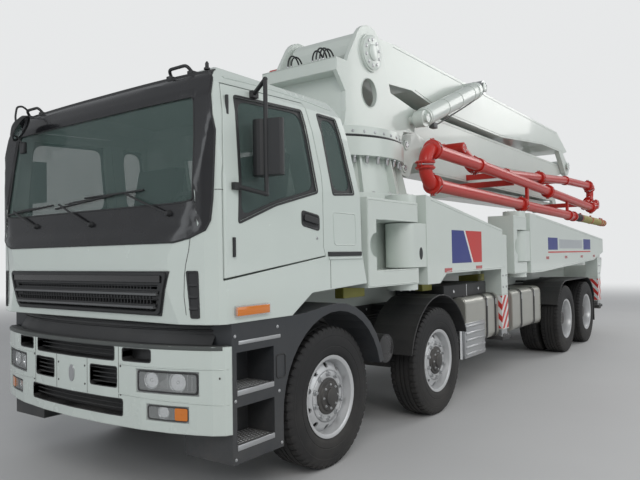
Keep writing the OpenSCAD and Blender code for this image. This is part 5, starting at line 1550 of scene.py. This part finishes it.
def makeGuardEdges():
    bm = bmesh.new()
    for side in (1, -1):
        for x, radius, y, start, end in guards["arcs"]:
            angles = [math.radians(a) for a in span(start, end, 28)]
            addTube(bm, [at(x + radius * cos(a), side * y,
                            guards["axleHeight"] + radius * sin(a)) for a in angles],
                    0.007, 8)
        (x0, radius, y, *_), (x1, *_) = guards["arcs"][1:]
        top = guards["axleHeight"] + radius
        addTube(bm, [at(x0, side * y, top), at(x1, side * y, top)], 0.007, 8)
        # bolts and ribs of the mud flap
        for y in span(0.68, 1.18, 5):
            addBolt(bm, at(guards["flap"] + 0.014, side * y, 0.745), (1, 0, 0), 0.009, 0.006, 1)
        for i in range(5):
            addTube(bm, [at(guards["flap"] + 0.0012, side * (0.66 + 0.13 * i), z) for z in (0.36, 0.70)],
                    0.004, 6)
    makePiece("guardEdges", bm, ["blackPlastic", "bareSteel"])


rails = {
    "bolts": (-8.9, 0.9, 46), "boltRows": (0.815, 1.012), "blocks": (-1.35, -3.82, -5.60),
    "runs": [(0.955, 0.014), (0.925, 0.010), (0.900, 0.010)],      # cable runs: height, radius
}


def makeRailDetails():
    # bolts, cable runs and valve blocks along both rails
    bm = bmesh.new()
    for side in (1, -1):
        for x in span(*rails["bolts"]):
            for z in rails["boltRows"]:
                addLathe(bm, at(x, side * 0.4305, z), (0, side, 0),
                         [(0, 0.013), (0.006, 0.012), (0.010, 0.006)], 8, 0)
        for z, radius in rails["runs"]:
            addTube(bm, [at(x, side * (0.449 + 0.004 * sin(x * 3)), z) for x in span(-9.0, 0.6, 40)], radius,
                    8, 1)
        for x in rails["blocks"]:
            sideBox(bm, side, (x, x - 0.12), (0.432, 0.505), (0.84, 0.975), 2, 0.008)
            for i in range(3):
                addLathe(bm, at(x - 0.025 - 0.035 * i, side * 0.505, 0.88), (0, side, 0),
                         [(0, 0.011), (0.016, 0.011), (0.020, 0.006)], 12, 0)
    makePiece("railDetails", bm, ["bareSteel", "blackPlastic", "castIron"])


makeLegSheets()
makePosts()
makeForkDetails()
makeTankFittings()
makeAirTank()
makeGuardEdges()
makeRailDetails()
print("legs, tanks and guards are dressed")


# Turret, boom, delivery pipe and the rear

slewX = -1.650
# bolt circles: how many, radius, height, bolt radius and head
slewBolts = {"side": (40, 0.800, 2.778, 0.011, 0.010), "under": (36, 0.790, 2.539, 0.017, 0.070),
             "foot": (24, 0.845, 2.179, 0.014, 0.014)}


def aroundTurret(angle, radius, z):
    return at(slewX + radius * cos(angle), radius * sin(angle), z)


boomPivot = (-1.800, 3.720)
luffFoot, luffEye, luffSide, luffCapSide = (-2.700, 3.150), (-4.550, 3.900), 0.610, 0.685


def makeSlewingRing():
    bm = bmesh.new()
    count, radius, z, size, head = slewBolts["side"]
    for a in boltAngles(count, 0):
        addBolt(bm, aroundTurret(a, radius, z), (cos(a), sin(a), 0), size, head, 0)
    makePiece("turretBolts", bm, ["bareSteel"], "turret")
    bm = bmesh.new()
    for row, way in (("under", -1), ("foot", 1)):
        count, radius, z, size, head = slewBolts[row]
        for a in boltAngles(count):
            addBolt(bm, aroundTurret(a, radius, z), (0, 0, way), size, head, 0)
    addTube(bm, [aroundTurret(a, 0.799, 2.735) for a in span(0, 2 * pi, 97)[:-1]], 0.014, 8, 1, closed=True)
    makePiece("pedestalBolts", bm, ["bareSteel", "blackPlastic"])


capShare = {"circle": 0.74, "bolt": 0.085}      # of a cap's radius


def addCap(bm, centre, axis, radius, bolts, depth, look=0, boltLook=1):
    # a round plate over a pin, with a ring of bolts
    centre, axis = Vector(centre), Vector(axis)
    addLathe(bm, centre, axis, [(-0.004, radius), (depth * 0.7, radius), (depth, radius * 0.95),
                                (depth, 0.0)], 32, look)
    for a in boltAngles(bolts):
        spot = centre + axis * depth + Vector((cos(a), 0, sin(a))) * radius * capShare["circle"]
        addBolt(bm, spot, axis, radius * capShare["bolt"], 0.008, boltLook)


# Hydraulic hoses that stand in arches over the bridge: both ends (x, z), and across and rise of each
bridgeHoses = {"front": (-1.200, 3.553), "rear": (-1.406, 3.520), "diameter": 0.017,
               "rows": [(0.300, 0.13), (0.255, 0.15), (0.210, 0.16), (0.165, 0.14), (-0.110, 0.13),
                        (-0.155, 0.15)]}


def hoseRoute(y, rise):
    # half an ellipse between the two ends
    (x0, z0), (x1, z1) = bridgeHoses["front"], bridgeHoses["rear"]
    return [at((x0 + x1) / 2 + (x0 - x1) / 2 * cos(pi * t), y,
               z0 + (z1 - z0) * t + rise * sin(pi * t)) for t in span(0.0, 1.0, 25)]


def makeTurretDetails():
    bm = bmesh.new()
    for side in (1, -1):
        axis = Vector((0, side, 0))
        pivot = at(boomPivot[0], side * 0.502, boomPivot[1])
        addCap(bm, pivot, axis, 0.185, 10, 0.016)
        addLathe(bm, pivot + axis * 0.016, axis, [(0, 0.085), (0.012, 0.085), (0.016, 0.078), (0.016, 0.0)],
                 32, 0)
        # rim of the cheek's hole, weld line along the cheek's foot, and the luffing cylinder's pin
        hole = ringAround(at(-1.770, side * 0.4805, 3.290), axis, 0.154, 36)
        addTube(bm, hole, 0.006, 8, 0, closed=True)
        addTube(bm, [at(x, side * 0.483, 2.862) for x in (-2.38, -1.32)], 0.010, 8)
        addCap(bm, at(luffFoot[0], side * 0.700, luffFoot[1]), axis, 0.052, 4, 0.010)
    for z in (3.402, 3.526):
        addTube(bm, [at(-1.164, y, z) for y in span(-0.475, 0.475, 9)], 0.005, 6, 0)
    makePiece("turretPlates", bm, ["steelWhite", "bareSteel"], "turret")
    # fittings for the hoses that arch from the bridge to the bar behind it
    bm = bmesh.new()
    for y, _ in bridgeHoses["rows"]:
        for (x, z), depth in ((bridgeHoses["front"], 0.025), (bridgeHoses["rear"], 0.055)):
            addLathe(bm, at(x, y, z - depth), (0, 0, 1),
                     [(0, 0.018), (0.014, 0.018), (0.014, 0.0135), (depth, 0.0135)], 6, 0)
    addBox(bm, at(-1.432, -0.20, 3.445), at(-1.384, 0.35, 3.470), 1, soft=0.004)
    makePiece("bridgeFittings", bm, ["bareSteel", "steelWhite"], "turret")
    for number, (y, rise) in enumerate(bridgeHoses["rows"], 1):
        route = hoseRoute(y, rise)
        bm = bmesh.new()
        addTube(bm, route, bridgeHoses["diameter"] / 2, 12)
        hose = makePiece(f"bridgeHose_{number}", bm, ["blackPlastic"], "turret")


def makeLuffCylinders():
    foot, eye = at(luffFoot[0], 0, luffFoot[1]), at(luffEye[0], 0, luffEye[1])
    along = (eye - foot).normalized()
    across = Vector((along.z, 0, -along.x))
    barrelEnd = (eye - foot).length - 0.190
    bm = bmesh.new()
    for side in (1, -1):
        base = foot + Vector((0, side * luffSide, 0))
        addLathe(bm, base + along * (barrelEnd - 0.11), along,
                 [(0, 0.111), (0.004, 0.120), (0.100, 0.120), (0.106, 0.114), (0.108, 0.085)], 36, 0)
        for a in boltAngles(8, 0):
            turn = (across * cos(a) + Vector((0, sin(a), 0))) * 0.100
            addBolt(bm, base + along * (barrelEnd - 0.002) + turn, along, 0.008, 0.007, 1)
        addLathe(bm, base + along * 0.10, along,
                 [(0, 0.112), (0.004, 0.116), (0.030, 0.116), (0.034, 0.112)], 36, 0)
        # valve block below the barrel, with the line to its far end
        under = across * (1 if across.z < 0 else -1)
        block = base + along * 0.30 + under * 0.145
        addBlock(bm, block, (0.050, 0.035, 0.034), 2, 0.006)
        line = [block + along * 0.05, block + along * 0.14 + under * 0.012,
                base + along * (barrelEnd - 0.25) + under * 0.128,
                base + along * (barrelEnd - 0.06) + under * 0.118]
        addTube(bm, roundedRoute(line, 0.05), 0.010, 8, 3)
        for share in (0.35, 0.6, 0.85):
            ring = ringAround(base + along * (barrelEnd * share), along, 0.1125, 30)
            addTube(bm, ring, 0.004, 6, 0, closed=True)
    makePiece("luffGlands", bm, ["steelWhite", "bareSteel", "castIron", "blackPlastic"], "luff_barrels")
    bm = bmesh.new()
    for side in (1, -1):
        addCap(bm, (eye.x, side * luffCapSide, eye.z), (0, side, 0), 0.072, 6, 0.008)
    makePiece("luffEyes", bm, ["steelWhite", "bareSteel"], "luff_rods")


sections = {
    # body: half width, weld lines (x from the first axle, z), ends of the steel lines, and the pin of the
    # elbow: place, distance from the middle, radius
    "boom_1": {"half": 0.400, "welds": [[(-2.45, 3.975), (-9.15, 3.975)],
                                        [(-9.60, 3.672), (-8.20, 3.657), (-6.00, 3.472), (-3.80, 3.472),
                                         (-2.98, 3.585)]],
               "lines": ((-2.80, 3.745), (-9.10, 3.790)), "pin": None},
    "boom_2": {"half": 0.300, "welds": [[(-9.55, 3.366), (-3.20, 3.358)],
                                        [(-9.00, 3.092), (-6.00, 2.992), (-3.95, 2.977)]],
               "lines": ((-4.20, 3.190), (-9.10, 3.260)), "pin": ((-9.900, 3.380), 0.430, 0.085)},
    "boom_3": {"half": 0.230, "welds": [[(-3.60, 2.893), (-9.40, 2.821)], [(-3.60, 2.672), (-9.05, 2.662)]],
               "lines": ((-4.00, 2.760), (-8.90, 2.745)), "pin": ((-3.300, 2.860), 0.330, 0.080)},
    "boom_4": {"half": 0.165, "welds": [[(-9.32, 2.576), (-4.54, 2.566)], [(-9.45, 2.450), (-4.54, 2.414)]],
               "lines": None, "pin": ((-9.600, 2.520), 0.255, 0.060)},
}


leverCorners = [(-3.42, 3.02), (-3.05, 3.10), (-2.72, 2.98), (-2.68, 2.54), (-2.92, 2.50), (-3.04, 2.72),
                (-3.40, 2.72)]
leverOutline = [(x + firstAxleX, z) for x, z in roundedOutline(leverCorners, 0.07)]
leverEyes = [(-2.80, 2.62), (-2.85, 2.90)]


def makeSections():
    for body, section in sections.items():
        half = section["half"]
        bm = bmesh.new()
        for side in (1, -1):
            for weld in section["welds"]:
                addTube(bm, [at(x, side * half, z) for x, z in weld], 0.0055, 6, 0)
            if body == "boom_2":
                # lever plate at the near elbow, forward of the section's nose
                addPrism(bm, leverOutline, *sorted((side * (half + 0.001), side * (half + 0.027))), 0, 0.004)
                for x, z in leverEyes:
                    addCap(bm, at(x, side * (half + 0.027), z), (0, side, 0), 0.062, 0, 0.016)
                    addCap(bm, at(x, side * (half + 0.043), z), (0, side, 0), 0.034, 4, 0.008, 1)
            if section["pin"]:
                (x, z), reach, radius = section["pin"]
                addCap(bm, at(x, side * reach, z), (0, side, 0), radius, 6, 0.010)
        if section["lines"]:
            # a pair of steel lines in clips along the right side
            (x0, z0), (x1, z1) = section["lines"]
            for shift in (-0.022, 0.022):
                addTube(bm, [at(x0, -half - 0.002, z0 + shift - 0.03),
                             at(x0 - 0.05, -half - 0.020, z0 + shift),
                             at(x1 + 0.05, -half - 0.020, z1 + shift),
                             at(x1, -half - 0.002, z1 + shift - 0.03)], 0.010, 8, 2)
            for t in span(0.05, 0.95, 7):
                x, z = x0 + (x1 - x0) * t, z0 + (z1 - z0) * t
                addBox(bm, at(x - 0.025, -half - 0.034, z - 0.042), at(x + 0.025, -half + 0.001, z + 0.042),
                       3, soft=0.005)
                addBolt(bm, at(x, -half - 0.034, z), (0, -1, 0), 0.007, 0.006, 1)
        makePiece(f"{body}Plates", bm, ["steelWhite", "bareSteel", "bareSteel", "blackPlastic"], body)


# The delivery pipe's routes: distance from the middle with its sign, and [(x from the first axle, z)]
pipeRoutes = {
    "boom_1": (-0.810, [(-1.80, 3.72), (-2.40, 3.83), (-9.50, 3.83), (-9.90, 3.51)]),
    "boom_2": (-0.810, [(-9.90, 3.25), (-9.68, 3.12), (-3.68, 3.10), (-3.30, 2.90)]),
    "boom_3": (0.820, [(-3.30, 2.86), (-3.75, 2.70), (-4.94, 2.70), (-8.10, 2.89), (-9.95, 2.94),
                       (-10.16, 2.69), (-9.60, 2.52)]),
    "boom_4": (1.000, [(-9.60, 2.52), (-9.26, 2.44), (-3.47, 2.655), (-2.00, 2.685), (-2.00, 2.315),
                       (-7.90, 2.21)]),
    "chassis": (-0.620, [(-9.23, 1.60), (-6.50, 1.80), (-6.00, 1.99), (-2.42, 1.99)]),
}
# bendFrom is the least turn in degrees that has a bend, section the longest run without a coupling
pipeLook = {"radius": 0.070, "bend": 0.180, "bendFrom": 12, "ring": 0.086, "rim": 0.018, "half": 0.042,
            "section": 3.0}
# a lug of a coupling: along the pipe, outward
lugCorners = ((-0.026, -0.012), (0.026, -0.012), (0.020, 0.022), (-0.020, 0.022))


def pipeJoints(route):
    # where couplings sit: at the ends of each round bend and along the long straight runs
    points = [Vector((x, z)) for x, z in route]
    heads = [(b - a).normalized() for a, b in zip(points, points[1:])]
    joints = []
    for i, (a, b) in enumerate(zip(points, points[1:])):
        cuts = []
        for k in (i, i + 1):
            turn = abs(heads[k - 1].angle(heads[k])) if 0 < k < len(points) - 1 else 0
            bends = math.degrees(turn) > pipeLook["bendFrom"]
            cuts.append(pipeLook["bend"] * math.tan(turn / 2) if bends else 0)
        start, end = a + heads[i] * cuts[0], b - heads[i] * cuts[1]
        length = (end - start).length
        if length < 3 * pipeLook["half"] and all(cuts):
            joints.append(((start + end) / 2, heads[i]))
            continue
        if cuts[0]:
            joints.append((start, heads[i]))
        if cuts[1]:
            joints.append((end, heads[i]))
        parts = math.ceil(length / pipeLook["section"])
        joints += [(start + heads[i] * (length * k / parts), heads[i]) for k in range(1, parts)]
    return joints


def addCoupling(bm, centre, head, side):
    # a two-part clamp: rims, lugs with their bolt above and below, and a lever
    axis = Vector((head.x, 0, head.y))
    normal = Vector((-head.y, 0, head.x))
    ring, half = pipeLook["ring"], pipeLook["half"]
    lip = ring + pipeLook["rim"]
    addLathe(bm, centre, axis, [(-half - 0.002, pipeLook["radius"]), (-half - 0.002, ring + 0.006),
                                (-half + 0.008, lip), (-half + 0.020, lip), (-half + 0.026, ring + 0.002),
                                (half - 0.026, ring + 0.002), (half - 0.020, lip), (half - 0.008, lip),
                                (half + 0.002, ring + 0.006), (half + 0.002, pipeLook["radius"])], 28, 0)
    for way in (1, -1):
        spot = centre + normal * way * (ring + 0.012)
        corners = [spot + axis * a + normal * way * b for a, b in lugCorners]
        for y in (-0.013, 0.013):
            rows = [[p + Vector((0, y + d, 0)) for p in corners] for d in (-0.005, 0.005)]
            addSkin(bm, rows, capped=True)
        addLathe(bm, spot + normal * way * 0.008 - Vector((0, 0.024, 0)), (0, 1, 0),
                 [(0, 0.009), (0.048, 0.009)], 10, 1)
    # lever that lies along the ring's upper side
    lever = [centre + normal * (ring + 0.022) + Vector((0, side * 0.020, 0)),
             centre + normal * (ring * 0.80) + Vector((0, side * (ring * 0.62), 0)),
             centre + normal * (ring * 0.25) + Vector((0, side * (ring + 0.020), 0))]
    addTube(bm, roundedRoute(lever, 0.03), 0.007, 8, 1)


def makeCouplings():
    for body, (y, route) in pipeRoutes.items():
        side = 1 if y > 0 else -1
        bm = bmesh.new()
        for spot, head in pipeJoints(route):
            addCoupling(bm, at(spot.x, y, spot.y), head, side)
        makePiece(f"{body}Couplings", bm, ["pipeRed", "bareSteel"], body)


# Turning joints of the pipe about the elbows' axes: body, (x, z), from and to across, radius
swivels = [
    ("boom_1", boomPivot, -0.885, -0.540, 0.070),
    ("boom_1", (-9.900, 3.380), -0.900, -0.8125, 0.124),
    ("boom_2", (-9.900, 3.380), -0.8075, -0.720, 0.124),
    ("boom_2", (-3.300, 2.900), -0.885, -0.345, 0.070),
    ("boom_3", (-3.300, 2.860), 0.345, 0.895, 0.070),
    ("boom_3", (-9.600, 2.520), 0.745, 0.9075, 0.090),
    ("boom_4", (-9.600, 2.520), 0.9125, 1.075, 0.090),
]


swivelCircle = 0.68     # the bolt circle's share of a joint's radius


def makeSwivels():
    for body in ("boom_1", "boom_2", "boom_3", "boom_4"):
        bm = bmesh.new()
        for owner, (x, z), low, high, radius in swivels:
            if owner != body:
                continue
            width = high - low
            addLathe(bm, at(x, low, z), (0, 1, 0),
                     [(0, 0), (0, radius - 0.012), (0.010, radius), (width - 0.010, radius),
                                                    (width, radius - 0.012), (width, 0)], 32, 0)
            for share in (0.30, 0.70) if width < 0.2 else (0.5,):
                addLathe(bm, at(x, low + width * share - 0.012, z), (0, 1, 0),
                         [(0, radius - 0.002), (0, radius + 0.012), (0.024, radius + 0.012),
                          (0.024, radius - 0.002)], 32, 0)
            face, way = (high, 1) if high > 0 else (low, -1)
            circle = swivelCircle * radius
            for a in boltAngles(6):
                addBolt(bm, at(x + circle * cos(a), face, z + circle * sin(a)), (0, way, 0), 0.007, 0.007, 1)
        makePiece(f"{body}Swivels", bm, ["pipeRed", "bareSteel"], body)


# The tip hose beside the fourth section: start (x, z), run, distance from the middle, clamps along it
tipHose = {
    "start": (-7.90, 2.21), "run": (-5.9, -0.105), "side": 1.000,
    "clamps": (0.06, 0.46, 1.25, 2.06, 2.24), "ribs": 38, "ribFrom": 0.56, "ribPitch": 0.0385,
    "rib": [(-0.009, 0.0663), (0.0, 0.0695), (0.009, 0.0663)],
}


def makeEndHose():
    start, heading = Vector(tipHose["start"]), Vector(tipHose["run"]).normalized()
    axis = Vector((heading.x, 0, heading.y))

    def spot(along):
        p = start + heading * along
        return at(p.x, tipHose["side"], p.y)
    bm = bmesh.new()
    # black rubber sleeve, clamps, ribs of the hose, and the steel end with its rim
    addLathe(bm, spot(0.02), axis, [(0, 0.066), (0.004, 0.071), (0.50, 0.071), (0.505, 0.066)], 28, 0)
    for along in tipHose["clamps"]:
        addLathe(bm, spot(along), axis, [(-0.018, 0.067), (-0.016, 0.074), (0.016, 0.074), (0.018, 0.067)],
                 28, 1)
        lug = spot(along) + Vector((0, 0.012, 0.078))
        addBox(bm, lug - Vector((0.012, 0.014, 0.010)), lug + Vector((0.012, 0.014, 0.012)), 1, soft=0.003)
        addBolt(bm, lug + Vector((0, 0.014, 0.002)), (0, 1, 0), 0.006, 0.008, 2)
    for i in range(tipHose["ribs"]):
        along = tipHose["ribFrom"] + tipHose["ribPitch"] * i
        if all(abs(along - clamp) > 0.03 for clamp in (1.25, 2.06)):
            addLathe(bm, spot(along), axis, tipHose["rib"], 20, 3)
    addLathe(bm, spot(2.445), axis, [(-0.016, 0.057), (-0.012, 0.068), (0.002, 0.068), (0.005, 0.064),
                                     (0.005, 0.050)], 28, 1)
    makePiece("endHoseFittings", bm, ["rubber", "pipeRed", "bareSteel", "hoseOlive"], "boom_4")
    # the pipe run beside it that narrows towards the hose
    bm = bmesh.new()
    addLathe(bm, spot(-0.34), axis, [(0, 0.071), (0.01, 0.078), (0.30, 0.073), (0.31, 0.070)], 28, 0)
    for along in (-0.36, -0.02):
        addLathe(bm, spot(along), axis, [(-0.020, 0.071), (-0.020, 0.090), (0.020, 0.090), (0.020, 0.071)],
                 28, 0)
    makePiece("tipReducer", bm, ["pipeRed"], "boom_4")


deck = {
    "bars": (-9.10, -6.02, 56), "tanks": [(-2.49, -3.89), (-4.70, -5.88)], "edges": (1.340, 1.880),
    "lids": [(-3.30, 0.30), (-5.20, -0.35)], "lidTop": 1.900, "lidCircle": 0.074,
    "lid": [(0, 0.085), (0.008, 0.085), (0.010, 0.065), (0.050, 0.065), (0.058, 0.055), (0.058, 0.0)],
}


def makeDeck():
    bm = bmesh.new()
    for side in (1, -1):
        # tread bars on the walkways, and edges of the tanks
        for x in span(*deck["bars"]):
            sideBox(bm, side, (x, x - 0.012), (0.40, 0.83), (1.371, 1.377))
        for x0, x1 in deck["tanks"]:
            for z in deck["edges"]:
                addTube(bm, [at(x0, side * 0.790, z), at(x1, side * 0.790, z)], 0.006, 6, 1)
    for x, y in deck["lids"]:
        lid = at(x, y, deck["lidTop"])
        addLathe(bm, lid, (0, 0, 1), deck["lid"], 28, 2)
        for a in boltAngles(6, 0):
            turn = Vector((cos(a), sin(a), 0)) * deck["lidCircle"]
            addBolt(bm, lid + turn + Vector((0, 0, 0.008)), (0, 0, 1), 0.006, 0.005, 3)
    makePiece("deckDetails", bm, ["bareSteel", "steelWhite", "blackPlastic", "bareSteel"])


hopperRim = {"half": 0.912, "height": 1.392, "inside": 0.004}


def makeHopperDetails():
    low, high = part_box("hopper")
    bm = bmesh.new()
    # rolled rim, upright ribs and the agitator's bearings
    half, z = hopperRim["half"], hopperRim["height"]
    rear, front = low[0] + hopperRim["inside"], high[0] - hopperRim["inside"]
    edge = [Vector(p) for p in ((rear, -half, z), (rear, half, z), (front, half, z), (front, -half, z))]
    addTube(bm, edge, 0.010, 10, closed=True)
    for side in (1, -1):
        for x in (-10.15, -9.62):
            sideBox(bm, side, (x, x - 0.012), (0.900, 0.950), (1.06, 1.385), 0, 0.003)
        addCap(bm, at(-9.79, side * 0.914, 0.870), (0, side, 0), 0.095, 6, 0.022, 1, 2)
        addLathe(bm, at(-9.79, side * 0.936, 0.870), (0, side, 0),
                 [(0, 0.045), (0.020, 0.045), (0.026, 0.036), (0.026, 0.0)], 20, 1)
    makePiece("hopperRim", bm, ["steelWhite", "castIron", "bareSteel"])
    bm = bmesh.new()
    low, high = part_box("hopper_grate")
    for side in (1, -1):
        addLathe(bm, Vector((high[0] - 0.010, side * 0.70 - 0.05, high[2] + 0.002)), (0, 1, 0),
                 [(0, 0.010), (0.003, 0.014), (0.097, 0.014), (0.10, 0.010)], 14, 0)
    handle = [Vector((low[0] + 0.03, y, high[2] + up))
              for y, up in ((-0.12, -0.004), (-0.12, 0.045), (0.12, 0.045), (0.12, -0.004))]
    addTube(bm, roundedRoute(handle, 0.03), 0.009, 10, 0)
    makePiece("grateHandle", bm, ["bareSteel"], "hopper_grate")


# Bands and rods of the two pump cylinders
pump = {"sides": (-0.19, 0.19), "bands": (-8.95, -6.25, 7), "height": 1.480, "band": 0.149, "rodTop": 1.655}


def makePumpDetails():
    bm = bmesh.new()
    for y in pump["sides"]:
        for x in span(*pump["bands"]):
            ring = ringAround(at(x, y, pump["height"]), Vector((1, 0, 0)), pump["band"], 28)
            addTube(bm, ring, 0.007, 6, closed=True)
        addTube(bm, [at(x, y * 0.5, pump["rodTop"]) for x in (-9.0, -6.2)], 0.012, 8, 1)
    makePiece("pumpDetails", bm, ["castIron", "bareSteel"])


makeSlewingRing()
makeTurretDetails()
makeLuffCylinders()
makeSections()
makeCouplings()
makeSwivels()
makeEndHose()
makeDeck()
makeHopperDetails()
makePumpDetails()
print("turret, boom, pipes and the rear are dressed")
